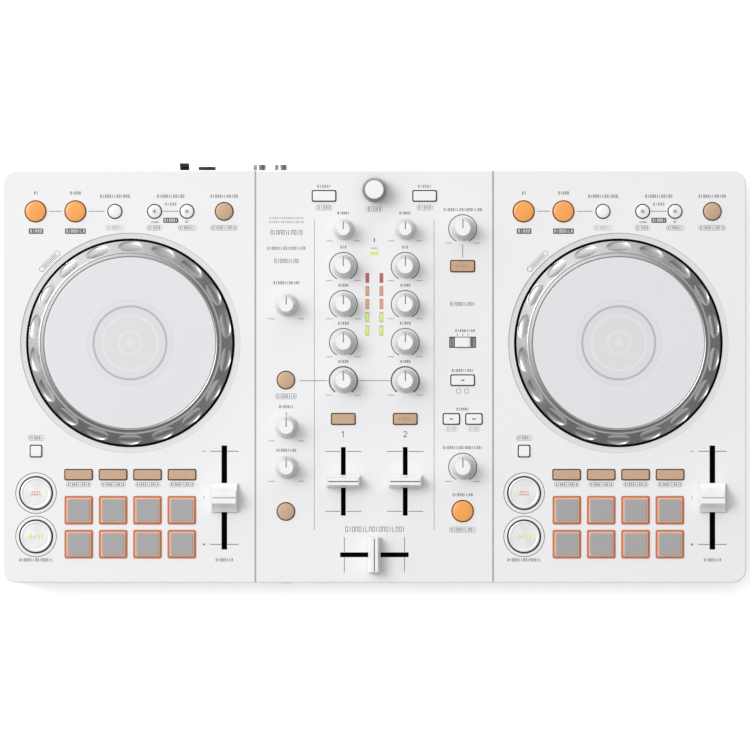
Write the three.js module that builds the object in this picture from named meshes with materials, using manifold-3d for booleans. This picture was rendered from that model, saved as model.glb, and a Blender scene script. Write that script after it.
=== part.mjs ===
// A two-deck DJ controller: a flat case with two jog wheels, a mixer between them, and every
// button, knob, slider and pad as a piece of its own.
// Millimetres, +Z up, +X to the user's right, +Y away from the user.
// The origin is at the middle of the bounding box's bottom face.
import * as THREE from "three";
import { mergeVertices } from "three/addons/utils/BufferGeometryUtils.js";
import Module from "manifold-3d";

const wasm = await Module();
wasm.setup();

// ---------------------------------------------------------------- driving dimensions
const CASE_W = 482;
const CASE_D = 267.5;
const REAR_REACH = 4.9; // how far the cord hook stands out behind the case
const CASE_R = 9; // corner radius seen from above
const CASE_Y = -REAR_REACH / 2; // middle of the case, so that the bounding box is centred
const REAR_Y = CASE_Y + CASE_D / 2;
const FRONT_Y = CASE_Y - CASE_D / 2;
const FOOT_H = 4;
const SPLIT_Z = 12; // where the bottom tray meets the top case
const PANEL_Z = 42; // top of the panel
const TOP_Z = 58.4; // top of the knobs
const SKIN = 2.5;
const PANEL_UNDER = PANEL_Z - SKIN;
const GAP = 0.3; // between touching pieces
const PORT_Z = 27; // axis of every jack and port

const SEAM_X = 77; // grooves between the decks and the mixer
const DECK_X = 158.1; // jog centres, left and right of the middle
const JOG_Y = CASE_Y + 21.8;
const DISH_R = 71.3;
const WELL_R = 67.3;
const WELL_RIM_Z = PANEL_Z - 1.4;
const WELL_Z = PANEL_Z - 5.5; // floor under the jog wheel
const JOG_R = 66;
const JOG_SHOULDER_R = 59.3;
const JOG_PLATE_R = 55.4;
const DIMPLES = 18;
const JOG_SEGMENTS = 36;

const BUTTON_RISE = 1.5; // cap above the panel
const BUTTON_GAP = 0.6; // cap to panel, all round
const BUTTON_LIP = 1.1; // retaining flange past the cap
const FLANGE_H = 1.3;
const STEM_Z = 30;
const CUE_R = 10.05; // the large cue and play buttons

const KNOB_R = 7.6;
const KNOB_TOP_R = 4.9;
const TRIM_SCALE = 0.86;
const SIDE_KNOB_SCALE = 0.95; // the microphone and headphone knobs
const BROWSE_R = 7.85;
const SHAFT_R = 3;
const KNOB_LIFT = 0.8; // knob's underside above the panel

const SLOT_W = 3.2;
const TEMPO_SLOT = 67.1;
const FADER_SLOT = 44.4;
const FADER_TOP = 12; // cap top above the panel

const PAD = 18.4;
const PAD_TOP = 14;
const PAD_PITCH = 22.25;
const PAD_RISE = 2;
const PAD_GAP = 0.35;

// ---------------------------------------------------------------- solids
function solid(geometry) {
  const plain = geometry.clone();
  plain.deleteAttribute("normal");
  plain.deleteAttribute("uv");
  const merged = mergeVertices(plain, 1e-4);
  return new wasm.Manifold(
    new wasm.Mesh({
      numProp: 3,
      vertProperties: merged.attributes.position.array,
      triVerts: new Uint32Array(merged.index.array),
    }),
  );
}

function geometryOf(made) {
  const mesh = made.getMesh();
  const geometry = new THREE.BufferGeometry();
  geometry.setAttribute("position", new THREE.BufferAttribute(mesh.vertProperties, 3));
  geometry.setIndex(new THREE.BufferAttribute(mesh.triVerts, 1));
  const flat = geometry.toNonIndexed();
  flat.computeVertexNormals();
  return flat;
}

const union = (solids) => solids.reduce((all, one) => all.add(one));

// A box between two heights, centred on x, y.
function box(width, depth, low, high, x = 0, y = 0) {
  const geometry = new THREE.BoxGeometry(width, depth, high - low);
  return solid(geometry.translate(x, y, (low + high) / 2));
}

// A round bar between two heights.
function disc(radius, low, high, x = 0, y = 0, segments = 16) {
  const geometry = new THREE.CylinderGeometry(radius, radius, high - low, segments);
  return solid(geometry.rotateX(Math.PI / 2).translate(x, y, (low + high) / 2));
}

// A round bar along Y.
function barrel(radius, front, back, x, z, segments = 12) {
  const geometry = new THREE.CylinderGeometry(radius, radius, back - front, segments);
  return solid(geometry.translate(x, (front + back) / 2, z));
}

// A profile of [radius, height] points turned about the Z axis.
function turned(profile, segments = 16) {
  const points = profile.map(([radius, height]) => new THREE.Vector2(radius, height));
  return solid(new THREE.LatheGeometry(points, segments).rotateX(Math.PI / 2));
}

function roundedOutline(width, depth, radius) {
  const [x, y] = [width / 2, depth / 2];
  const outline = new THREE.Shape();
  outline.moveTo(x - radius, -y);
  outline.absarc(x - radius, -y + radius, radius, -Math.PI / 2, 0);
  outline.absarc(x - radius, y - radius, radius, 0, Math.PI / 2);
  outline.absarc(-x + radius, y - radius, radius, Math.PI / 2, Math.PI);
  outline.absarc(-x + radius, -y + radius, radius, Math.PI, 1.5 * Math.PI);
  return outline;
}

// A slab with rounded corners and, where bevel isn't 0, bevelled edges at both ends.
function slab(width, depth, radius, low, high, bevel = 0) {
  const outline = roundedOutline(width - 2 * bevel, depth - 2 * bevel, radius - bevel);
  const geometry = new THREE.ExtrudeGeometry(outline, {
    depth: high - low - 2 * bevel,
    bevelEnabled: bevel > 0,
    bevelThickness: bevel,
    bevelSize: bevel,
    bevelSegments: 2,
    curveSegments: 5,
  });
  return solid(geometry.translate(0, CASE_Y, low + bevel));
}

// ---------------------------------------------------------------- materials
const material = (color, roughness, metalness = 0) => ({ color, roughness, metalness });
const WHITE = material(0xeeeef1, 0.55);
const GLOSS = material(0xf6f6f8, 0.3);
const BLACK = material(0x1b1b1d, 0.6);
const RUBBER = material(0x141414, 0.9);
const METAL = material(0xa9a9ab, 0.35, 0.8);
const PLATE = material(0xe6e6e9, 0.45);
const TAN = material(0xc8a582, 0.5);
const ORANGE = material(0xfda53c, 0.5);
const GREY = material(0xa2a3a4, 0.7);
const BOARD = material(0x1f5f3a, 0.6);

const group = new THREE.Group();

function place(parent, name, made, look) {
  const mesh = new THREE.Mesh(geometryOf(made), new THREE.MeshStandardMaterial(look));
  mesh.name = name;
  parent.add(mesh);
}

// ---------------------------------------------------------------- controls and their holes
// Each control gives its own solid and adds its panel opening to `openings`.
const openings = [];

function openPanel(cutter) {
  openings.push(cutter);
}

const across = (low, high) => [low - 1, high + 1];

// Keys that share one flange under the panel. A key is { x, y, r } or { x, y, w, d }.
function keyBar(keys, rise = BUTTON_RISE) {
  const capTop = PANEL_Z + rise;
  const flangeTop = PANEL_UNDER - GAP;
  const flangeLow = flangeTop - FLANGE_H;
  const halves = (key) => [key.r ?? key.w / 2, key.r ?? key.d / 2];
  const caps = keys.map((key) =>
    key.r
      ? disc(key.r, flangeLow, capTop, key.x, key.y, key.r > 9 ? 24 : 16)
      : box(key.w, key.d, flangeLow, capTop, key.x, key.y),
  );
  for (const key of keys) {
    const [low, high] = across(PANEL_UNDER, PANEL_Z);
    openPanel(
      key.r
        ? disc(key.r + BUTTON_GAP, low, high, key.x, key.y, key.r > 9 ? 24 : 16)
        : box(key.w + 2 * BUTTON_GAP, key.d + 2 * BUTTON_GAP, low, high, key.x, key.y),
    );
  }
  const left = Math.min(...keys.map((key) => key.x - halves(key)[0])) - BUTTON_LIP;
  const right = Math.max(...keys.map((key) => key.x + halves(key)[0])) + BUTTON_LIP;
  const half = Math.max(...keys.map((key) => halves(key)[1])) + BUTTON_LIP;
  const flange =
    keys.length === 1 && keys[0].r
      ? disc(keys[0].r + BUTTON_LIP, flangeLow, flangeTop, keys[0].x, keys[0].y)
      : box(right - left, 2 * half, flangeLow, flangeTop, (left + right) / 2, keys[0].y);
  const stems = keys.map((key) => box(3, 3, STEM_Z, flangeLow + 0.5, key.x, key.y));
  return union([flange, ...caps, ...stems]);
}

// A knob with a flared foot, narrowing to a flat top, on its own shaft.
function knob(x, y, scale = 1) {
  const foot = PANEL_Z + KNOB_LIFT;
  openPanel(disc(SHAFT_R + 0.6, ...across(PANEL_UNDER, PANEL_Z), x, y, 8));
  return turned([
    [0, STEM_Z + 2],
    [SHAFT_R, STEM_Z + 2],
    [SHAFT_R, foot],
    [KNOB_R * scale, foot],
    [KNOB_R * scale, foot + 1.6],
    [(KNOB_TOP_R + 1.1) * scale, foot + 6],
    [KNOB_TOP_R * scale, TOP_Z],
    [0, TOP_Z],
  ]).translate(x, y, 0);
}

// A slider cap that is wide across its slot, with a raised grip, on a stem through the slot.
// `along` is the slot's direction.
function slider({ x, y, along, slot, capWide, capLong, grip }) {
  const turn = along === "x";
  const flat = (wide, long, low, high) => (turn ? box(long, wide, low, high) : box(wide, long, low, high));
  openPanel(flat(SLOT_W, slot, ...across(PANEL_UNDER, PANEL_Z)).translate(x, y, 0));
  const foot = PANEL_Z + KNOB_LIFT;
  const top = PANEL_Z + FADER_TOP;
  const parts = [
    flat(2, 5, STEM_Z + 1, foot + 1),
    flat(capWide, capLong, foot, foot + 3),
    flat(capWide - 1.6, capLong * 0.72, foot + 2, foot + 6.5),
    flat(capWide - 3, grip, foot + 6, top),
  ];
  return union(parts).translate(x, y, 0);
}

// ---------------------------------------------------------------- jog wheels
function jogRing() {
  const base = WELL_Z + 1.1;
  const shoulder = PANEL_Z + 5.4;
  const crown = PANEL_Z + 7.2;
  const seat = PANEL_Z + 4.4;
  const web = PANEL_Z + 0.5;
  const rimFoot = PANEL_Z + 0.6;
  const bore = 4.5;
  const rimInner = 61;
  const body = turned(
    [
      [bore, web],
      [rimInner, web],
      [rimInner, base],
      [JOG_R, base],
      [JOG_R, rimFoot],
      [JOG_SHOULDER_R, shoulder],
      [JOG_PLATE_R + 0.5, crown],
      [JOG_PLATE_R + 0.5, seat],
      [bore, seat],
      [bore, web],
    ],
    JOG_SEGMENTS,
  );
  const slope = Math.atan2(shoulder - rimFoot, JOG_R - JOG_SHOULDER_R);
  const dimpleR = (JOG_R + JOG_SHOULDER_R) / 2;
  const dimples = Array.from({ length: DIMPLES }, (_, index) => {
    const geometry = new THREE.SphereGeometry(1, 6, 4).scale(3, 7.6, 1.2);
    geometry.rotateY(slope);
    geometry.translate(dimpleR, 0, (rimFoot + shoulder) / 2);
    return solid(geometry.rotateZ(Math.PI / 2 + (index * 2 * Math.PI) / DIMPLES));
  });
  return body.subtract(union(dimples));
}

function jogPlate() {
  const under = PANEL_Z + 4.7;
  const top = PANEL_Z + 7.8;
  const spindle = 4;
  return turned(
    [
      [0, STEM_Z + 1],
      [spindle, STEM_Z + 1],
      [spindle, under],
      [JOG_PLATE_R, under],
      [JOG_PLATE_R, top - 0.4],
      [JOG_PLATE_R - 0.4, top],
      [0, top],
    ],
    JOG_SEGMENTS,
  );
}

// The jog's bowl in the case: a floor below the panel, cut by a dished hollow and a spindle hole.
function jogWell(x) {
  const floor = disc(WELL_R + 2, WELL_Z - 2, PANEL_UNDER + 0.5, x, JOG_Y, JOG_SEGMENTS);
  const hollow = turned(
    [
      [0, WELL_Z],
      [WELL_R, WELL_Z],
      [WELL_R, WELL_RIM_Z],
      [DISH_R, PANEL_Z],
      [DISH_R, PANEL_Z + 1],
      [0, PANEL_Z + 1],
    ],
    JOG_SEGMENTS,
  ).translate(x, JOG_Y, 0);
  const hole = disc(5, WELL_Z - 3, WELL_Z + 1, x, JOG_Y, 12);
  return { floor, hollow: hollow.add(hole) };
}

// ---------------------------------------------------------------- one deck
function padMat(x, firstY) {
  const matTop = PANEL_UNDER - GAP;
  const matLow = matTop - 1.2;
  const columns = [-1.5, -0.5, 0.5, 1.5].map((step) => x + step * PAD_PITCH);
  const rows = [firstY, firstY - PAD_PITCH + 0.25];
  const hole = PAD + 2 * PAD_GAP;
  const parts = [
    box(3 * PAD_PITCH + PAD + 2, PAD_PITCH + PAD + 2, matLow, matTop, x, (rows[0] + rows[1]) / 2),
  ];
  for (const padX of columns) {
    for (const padY of rows) {
      openPanel(box(hole, hole, ...across(PANEL_UNDER, PANEL_Z), padX, padY));
      parts.push(box(PAD, PAD, matLow, PANEL_Z + 0.6, padX, padY));
      const crown = new THREE.CylinderGeometry(PAD_TOP / Math.SQRT2, PAD / Math.SQRT2, PAD_RISE - 0.6, 4);
      crown.rotateX(Math.PI / 2).rotateZ(Math.PI / 4);
      parts.push(solid(crown.translate(padX, padY, PANEL_Z + 0.6 + (PAD_RISE - 0.6) / 2)));
    }
  }
  return union(parts);
}

function deck(side, middle) {
  const y = (fromCase) => CASE_Y + fromCase;
  const add = (name, made, look) => place(group, `${name}_${side}`, made, look);
  const topRow = y(107);
  const jog = new THREE.Group();
  jog.position.set(middle, JOG_Y, 0);
  group.add(jog);
  place(jog, `jog_ring_${side}`, jogRing(), METAL);
  place(jog, `jog_plate_${side}`, jogPlate(), PLATE);
  add(
    "loop_buttons",
    keyBar([
      { x: middle - 61.4, y: topRow, r: 6.5 },
      { x: middle - 35.6, y: topRow, r: 6.5 },
      { x: middle - 10, y: topRow, r: 4.3 },
    ]),
    ORANGE,
  );
  add(
    "call_buttons",
    keyBar([
      { x: middle + 15.7, y: topRow, r: 4.2 },
      { x: middle + 36.7, y: topRow, r: 4.2 },
    ]),
    GLOSS,
  );
  add("sync_button", keyBar([{ x: middle + 60.8, y: topRow, r: 5.5 }]), TAN);
  add("shift_button", keyBar([{ x: middle - 61.1, y: y(-48.3), w: 6.8, d: 6.8 }]), GLOSS);
  add("cue_button", keyBar([{ x: middle - 61.1, y: y(-75.5), r: CUE_R }]), GLOSS);
  add("play_button", keyBar([{ x: middle - 61.1, y: y(-103.6), r: CUE_R }]), GLOSS);
  const modeKeys = [-33.5, -11.15, 11.15, 33.5].map((x) => ({ x: middle + x, y: y(-63.6), w: 17.2, d: 6 }));
  add("mode_buttons", keyBar(modeKeys), TAN);
  add("pad_mat", padMat(middle, y(-86.6)), GREY);
  add(
    "tempo_slider",
    slider({
      x: middle + 60.9,
      y: y(-78.4),
      along: "y",
      slot: TEMPO_SLOT,
      capWide: 15.9,
      capLong: 18.8,
      grip: 7,
    }),
    GLOSS,
  );
}

deck("left", -DECK_X);
deck("right", DECK_X);

// ---------------------------------------------------------------- mixer
function mixer() {
  const y = (fromCase) => CASE_Y + fromCase;
  const add = (name, made, look) => place(group, name, made, look);
  const key = (name, x, fromCase, width, depth, look) =>
    add(name, keyBar([{ x, y: y(fromCase), w: width, d: depth }]), look);
  const button = (name, x, fromCase, radius, look) => add(name, keyBar([{ x, y: y(fromCase), r: radius }]), look);
  const turning = (name, x, fromCase, scale) => add(name, knob(x, y(fromCase), scale), GLOSS);

  for (const [channel, x] of [
    [1, -20.1],
    [2, 20],
  ]) {
    turning(`trim_knob_${channel}`, x, 95.3, TRIM_SCALE);
    turning(`high_knob_${channel}`, x, 71.4);
    turning(`mid_knob_${channel}`, x, 46.7);
    turning(`low_knob_${channel}`, x, 22.1);
    turning(`filter_knob_${channel}`, x, -2.7);
    key(`channel_cue_${channel}`, x, -27.5, 14.7, 6.4, TAN);
    const cap = { along: "y", slot: FADER_SLOT, capWide: 20.5, capLong: 8.2, grip: 2.6 };
    add(`channel_fader_${channel}`, slider({ x, y: y(-67.9), ...cap }), GLOSS);
  }
  add(
    "crossfader",
    slider({ x: 0, y: y(-115.5), along: "x", slot: FADER_SLOT, capWide: 22, capLong: 8.3, grip: 2.6 }),
    GLOSS,
  );
  key("load_button_left", -32.6, 117, 14.6, 6.2, GLOSS);
  key("load_button_right", 32.6, 117, 14.6, 6.2, GLOSS);

  const left = -57.3;
  const leftKnobs = -57;
  turning("mic_level_knob", leftKnobs, 46.5, SIDE_KNOB_SCALE);
  button("smart_filter_button", left, -2.3, 5.5, TAN);
  turning("headphone_mix_knob", leftKnobs, -32.6, SIDE_KNOB_SCALE);
  turning("headphone_level_knob", leftKnobs, -58.7, SIDE_KNOB_SCALE);
  button("smart_fader_button", left, -87.4, 5.5, TAN);

  const right = 57.2;
  turning("master_level_knob", right, 95.8);
  key("master_cue_button", right, 71.5, 14.8, 6.6, TAN);
  key("effect_select_button", right, -2.4, 14.6, 6.2, GLOSS);
  add(
    "beat_buttons",
    keyBar([
      { x: 49.9, y: y(-27.5), w: 9.9, d: 6.2 },
      { x: 64.5, y: y(-27.5), w: 9.9, d: 6.2 },
    ]),
    GLOSS,
  );
  turning("effect_depth_knob", right, -58.7);
  button("effect_on_button", right, -87.2, 6.55, ORANGE);

  const browseFoot = PANEL_Z + KNOB_LIFT + 1;
  openPanel(disc(SHAFT_R + 0.6, ...across(PANEL_UNDER, PANEL_Z), 0, y(120.8), 8));
  const browse = turned([
    [0, STEM_Z],
    [SHAFT_R, STEM_Z],
    [SHAFT_R, browseFoot],
    [BROWSE_R, browseFoot],
    [BROWSE_R, TOP_Z - 2.4],
    [5.7, TOP_Z - 0.4],
    [0, TOP_Z - 0.4],
  ]);
  add("browse_knob", browse.translate(0, y(120.8), 0), GLOSS);

  const switchY = y(22.2);
  openPanel(box(17.3, 7.2, ...across(PANEL_UNDER, PANEL_Z), right, switchY));
  const lever = box(10.1, 6.2, PANEL_UNDER - 1, PANEL_Z + 1.6, right, switchY);
  add("effect_channel_switch", lever.add(box(4, 3, STEM_Z, PANEL_UNDER - 0.5, right, switchY)), GLOSS);
}

mixer();

// ---------------------------------------------------------------- rear and front connectors
const MIC_X = -108.6;
const RCA_X = [-74.5, -60.5];
const HEADPHONE_X = -57.3;
const LOCK_X = 214;
const USB_X = [96, 116];
const WALL_Y = REAR_Y - SKIN;
const MIC_BORE_R = 3.25;
const MIC_NUT_R = 5.5;
const MIC_NUT_REACH = 2.1; // how far the nut stands out behind the case
const RCA_R = 4.25;
const RCA_PIN_R = 1.6;
const RCA_REACH = 3.2;
const BOARD_T = 1.6;

function rearJackBoard() {
  const blockTop = PORT_Z + 7;
  const boardTop = PORT_Z - 9;
  const parts = [
    box(76, 26, boardTop - BOARD_T, boardTop, -90, WALL_Y - 15),
    box(15, 22, boardTop - 0.5, blockTop, MIC_X, WALL_Y - GAP - 11),
    barrel(4.6, WALL_Y - 1, REAR_Y + 0.6, MIC_X, PORT_Z),
    barrel(MIC_NUT_R, REAR_Y + GAP, REAR_Y + MIC_NUT_REACH, MIC_X, PORT_Z, 6),
    box(30, 16, boardTop - 0.5, blockTop, (RCA_X[0] + RCA_X[1]) / 2, WALL_Y - GAP - 8),
    ...RCA_X.map((x) => barrel(RCA_R, WALL_Y - 1, REAR_Y + RCA_REACH, x, PORT_Z)),
  ];
  const bore = barrel(MIC_BORE_R, WALL_Y - 15, REAR_Y + 3, MIC_X, PORT_Z);
  const sockets = RCA_X.map((x) => barrel(RCA_PIN_R, REAR_Y - 6, REAR_Y + 5, x, PORT_Z, 8));
  return union(parts).subtract(union([bore, ...sockets]));
}

place(group, "rear_jack_board", rearJackBoard(), BLACK);

function mainBoard() {
  const top = PORT_Z - 5;
  const wall = FRONT_Y + SKIN;
  return union([
    box(440, 205, top - BOARD_T, top, 0, CASE_Y - 18),
    box(12, 14, top - 1, PORT_Z + 3.2, HEADPHONE_X, wall + GAP + 7),
    barrel(3, FRONT_Y + 0.2, wall + 1, HEADPHONE_X, PORT_Z),
    box(40, 44, top - BOARD_T, top, (USB_X[0] + USB_X[1]) / 2, WALL_Y - 27),
    ...USB_X.map((x) => box(8.4, 9, top - 1, PORT_Z + 1.5, x, WALL_Y - 4.8)),
  ]).subtract(barrel(1.8, FRONT_Y - 1, wall + 12, HEADPHONE_X, PORT_Z, 8));
}

place(group, "main_board", mainBoard(), BOARD);

// ---------------------------------------------------------------- casings
function topCase() {
  const shell = slab(CASE_W, CASE_D, CASE_R, SPLIT_Z - 4, PANEL_Z, 1.2)
    .subtract(box(CASE_W + 4, CASE_D + 4, SPLIT_Z - 6, SPLIT_Z + GAP, 0, CASE_Y))
    .subtract(slab(CASE_W - 2 * SKIN, CASE_D - 2 * SKIN, CASE_R - SKIN, SPLIT_Z - 1, PANEL_UNDER));
  const wells = [-DECK_X, DECK_X].map(jogWell);
  const grooves = [-SEAM_X, SEAM_X].map((x) => box(1.1, CASE_D + 4, PANEL_Z - 0.8, PANEL_Z + 1, x, CASE_Y));
  const ports = [
    barrel(5, WALL_Y - 1, REAR_Y + 1, MIC_X, PORT_Z),
    ...RCA_X.map((x) => barrel(4.7, WALL_Y - 1, REAR_Y + 1, x, PORT_Z)),
    ...USB_X.map((x) => box(9.2, 6, PORT_Z - 1.8, PORT_Z + 1.8, x, REAR_Y - 1)),
    box(7, 6, PORT_Z - 1.6, PORT_Z + 1.6, LOCK_X, REAR_Y - 1),
    barrel(3.4, FRONT_Y - 1, FRONT_Y + SKIN + 1, HEADPHONE_X, PORT_Z),
  ];
  return shell
    .add(union(wells.map((well) => well.floor)))
    .subtract(union(wells.map((well) => well.hollow)))
    .subtract(union([...grooves, ...ports, ...openings]));
}

place(group, "top_case", topCase(), WHITE);

const FOOT_R = 10;
const FOOT_PLACES = [
  [-205, FRONT_Y + 30],
  [205, FRONT_Y + 30],
  [-205, REAR_Y - 30],
  [205, REAR_Y - 30],
];
const FOOT_RECESS = 1;

function cordHook() {
  const x = -123.6;
  return union([
    box(5.9, 9, SPLIT_Z - 4, SPLIT_Z - 0.2, x, REAR_Y + REAR_REACH - 4.5),
    box(5.9, 2, SPLIT_Z - 4, SPLIT_Z + 13, x, REAR_Y + REAR_REACH - 1),
  ]);
}

function bottomCase() {
  const inset = 1;
  const tray = slab(CASE_W - 2 * inset, CASE_D - 2 * inset, CASE_R - inset, FOOT_H, SPLIT_Z + 4, 2).subtract(
    box(CASE_W, CASE_D, SPLIT_Z, SPLIT_Z + 5, 0, CASE_Y),
  );
  const lip = SKIN + GAP;
  const tongue = slab(CASE_W - 2 * lip, CASE_D - 2 * lip, CASE_R - lip, SPLIT_Z - 1, SPLIT_Z + 3);
  const wall = lip + 1.6;
  const pocket = slab(CASE_W - 2 * wall, CASE_D - 2 * wall, CASE_R - wall, FOOT_H + SKIN, SPLIT_Z + 5);
  const recesses = FOOT_PLACES.map(([x, y]) => disc(FOOT_R + 0.4, FOOT_H - 1, FOOT_H + FOOT_RECESS, x, y));
  return union([tray, tongue, cordHook()]).subtract(pocket).subtract(union(recesses));
}

place(group, "bottom_case", bottomCase(), BLACK);

FOOT_PLACES.forEach(([x, y], index) => {
  const name = ["front_left", "front_right", "rear_left", "rear_right"][index];
  const foot = turned([
    [0, 0],
    [FOOT_R - 0.8, 0],
    [FOOT_R, 0.8],
    [FOOT_R, FOOT_H + FOOT_RECESS - GAP],
    [0, FOOT_H + FOOT_RECESS - GAP],
  ]);
  place(group, `foot_${name}`, foot.translate(x, y, 0), RUBBER);
});

export default group;
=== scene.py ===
"""The looks of a white two-deck DJ controller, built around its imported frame.

Lengths are in millimetres until a piece is finished, which turns them into metres.
Deck places are measured from that deck's jog centre, mixer places from the case's middle.
"""

import math

import bmesh
import bpy
from mathutils import Matrix, Vector


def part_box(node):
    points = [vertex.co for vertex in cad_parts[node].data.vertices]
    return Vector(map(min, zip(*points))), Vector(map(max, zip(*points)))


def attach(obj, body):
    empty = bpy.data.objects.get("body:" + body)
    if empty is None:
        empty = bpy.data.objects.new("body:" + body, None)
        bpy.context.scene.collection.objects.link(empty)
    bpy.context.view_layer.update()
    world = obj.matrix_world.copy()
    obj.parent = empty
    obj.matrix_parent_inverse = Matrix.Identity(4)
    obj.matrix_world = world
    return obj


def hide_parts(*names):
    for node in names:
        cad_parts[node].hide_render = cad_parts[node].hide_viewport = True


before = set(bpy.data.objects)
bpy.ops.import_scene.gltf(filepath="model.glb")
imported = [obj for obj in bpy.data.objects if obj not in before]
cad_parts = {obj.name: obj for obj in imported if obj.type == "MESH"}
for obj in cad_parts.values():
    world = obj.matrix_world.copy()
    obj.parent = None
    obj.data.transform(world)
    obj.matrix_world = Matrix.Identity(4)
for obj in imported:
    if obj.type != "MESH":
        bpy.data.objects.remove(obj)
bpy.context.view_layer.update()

MM = 0.001


# ---------------------------------------------------------------- places from the frame
def corners(node):
    """A CAD node's lowest and highest corners, in millimetres."""
    low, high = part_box(node)
    return Vector(low) / MM, Vector(high) / MM


def middle(node):
    low, high = corners(node)
    return (low + high) / 2


def extent(node):
    """A CAD node's width, depth and height."""
    low, high = corners(node)
    return high - low


CASE_LOW, CASE_HIGH = corners("top_case")
PANEL = CASE_HIGH.z
CASE_MID = middle("top_case")
CASE_W, CASE_D = extent("top_case").xy
CASE_R = 9
SKIN = 2.5
UNDER = PANEL - SKIN  # the panel's underside
THROUGH = (UNDER - 1, PANEL + 1)  # the height of a cutter that goes through the panel
KNOB_TOP = corners("high_knob_1")[1].z
KNOB_FOOT = PANEL + 0.8
PORT_Z = middle("rear_jack_board").z + 1.8
REAR = CASE_HIGH.y
REAR_INNER = REAR - SKIN
FRONT = CASE_LOW.y
DECKS = {"left": middle("jog_ring_left"), "right": middle("jog_ring_right")}
SIDES = (-1, 1)
SEAM_X = 77  # the grooves between the decks and the mixer
WELL_R = 67.6
DISH_R = 71.3
WELL_Z = PANEL - 5.5
HOOK_X = -123.6
MIC_X = -108.6
RCA_XS = (-74.5, -60.5)
USB_XS = (96, 116)
LOCK_X = 214
HEADPHONE_X = -57.3
CAP_RISE = 1.5  # a key's cap over the panel
DOME = 0.7  # how much a round cap is crowned
KEY_GAP = 0.74  # between a key and the panel
CUE_GAP = 1.0
FLANGE_LOW = UNDER - 1.6  # the keys' flanges, under the panel
BOARD_T = 1.6
PRINT_LIFT = 0.03
PRINT = (PANEL - 0.05, PANEL + PRINT_LIFT)


def on_deck(side, x, y):
    """A place on a deck, measured from its jog wheel's centre."""
    return DECKS[side].x + x, DECKS[side].y + y


# ---------------------------------------------------------------- shader maths
class Value:
    """A shader socket whose operators add Math nodes."""

    def __init__(self, graph, socket):
        self.graph, self.socket = graph, socket

    def math(self, operation, *values):
        return self.graph.node("Math", {"operation": operation}, enumerate([self, *values]))

    def __add__(self, other):
        return self.math("ADD", other)

    def __mul__(self, other):
        return self.math("MULTIPLY", other)

    __radd__ = __add__
    __rmul__ = __mul__


class Graph:
    """A node tree under construction."""

    def __init__(self, tree):
        self.tree = tree

    def node(self, kind, settings=(), sockets=(), output=0):
        made = self.tree.nodes.new("ShaderNode" + kind)
        for name, value in dict(settings).items():
            setattr(made, name, value)
        for key, value in dict(sockets).items():
            self.feed(made.inputs[key], value)
        return Value(self, made.outputs[output])

    def feed(self, socket, value):
        if isinstance(value, Value):
            self.tree.links.new(value.socket, socket)
        else:
            socket.default_value = value


class Finish(Graph):
    """A procedural material."""

    def __init__(self, name, **constants):
        self.material = bpy.data.materials.new(name)
        self.material.use_nodes = True
        super().__init__(self.material.node_tree)
        self.shader = self.tree.nodes["Principled BSDF"]
        for name, value in constants.items():
            self.shader.inputs[name.replace("_", " ").title().replace("Ior", "IOR")].default_value = value

    def set(self, socket, value):
        self.feed(self.shader.inputs[socket], value)

    def place(self):
        return self.node("TexCoord", output=3)

    def noise(self, grain, detail=2.0):
        """Noise from 0 to 1 whose grain is that many millimetres across."""
        sockets = {"Vector": self.place(), "Scale": 1 / (grain * MM), "Detail": detail}
        return self.node("TexNoise", sockets=sockets)

    def mix(self, factor, first, second):
        colours = {0: factor, 6: first, 7: second}
        return self.node("Mix", {"data_type": "RGBA", "blend_type": "MIX"}, colours, output=2)

    def bump(self, height, depth):
        """A bump that is depth millimetres high."""
        return self.node("Bump", sockets={"Height": height, "Distance": depth * MM})

    def around(self, centre):
        """Distance in metres from a vertical line through centre."""
        flat = self.node("VectorMath", {"operation": "MULTIPLY"}, {0: self.place(), 1: (1, 1, 0)})
        home = (centre.x * MM, centre.y * MM, 0)
        return self.node("VectorMath", {"operation": "DISTANCE"}, {0: flat, 1: home}, output=1)

    def bearing(self, centre):
        """The angle about a vertical line through centre, in radians."""
        home = (centre.x * MM, centre.y * MM, 0)
        spoke = self.node("VectorMath", {"operation": "SUBTRACT"}, {0: self.place(), 1: home})
        across, along = (self.node("SeparateXYZ", sockets={0: spoke}, output=index) for index in (0, 1))
        return along.math("ARCTAN2", across)


def shade(colour, factor):
    return tuple(min(1.0, part * factor) for part in colour[:3]) + (1.0,)


def moulded(name, colour, roughness, grain=0.45, depth=0.012, spread=0.04, **constants):
    """Moulded plastic: a fine spark-eroded grain and slight cloudiness."""
    finish = Finish(name, **constants)
    cloud = finish.noise(38, 3)
    finish.set("Base Color", finish.mix(cloud, shade(colour, 1 - spread), shade(colour, 1 + spread)))
    grainy = finish.noise(grain, 2)
    finish.set("Roughness", roughness - 0.06 + 0.12 * grainy)
    finish.set("Normal", finish.bump(grainy, depth))
    return finish.material


def lit(name, colour, glow, strength, roughness=0.4):
    """Translucent plastic with a lamp behind it: brighter in the middle of each cloud."""
    finish = Finish(name, emission_strength=strength)
    cloud = finish.noise(6, 2)
    finish.set("Base Color", finish.mix(cloud, shade(colour, 0.92), shade(colour, 1.06)))
    finish.set("Emission Color", finish.mix(cloud, shade(glow, 0.85), shade(glow, 1.0)))
    grainy = finish.noise(0.5, 2)
    finish.set("Roughness", roughness - 0.05 + 0.1 * grainy)
    finish.set("Normal", finish.bump(grainy, 0.008))
    return finish.material


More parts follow.
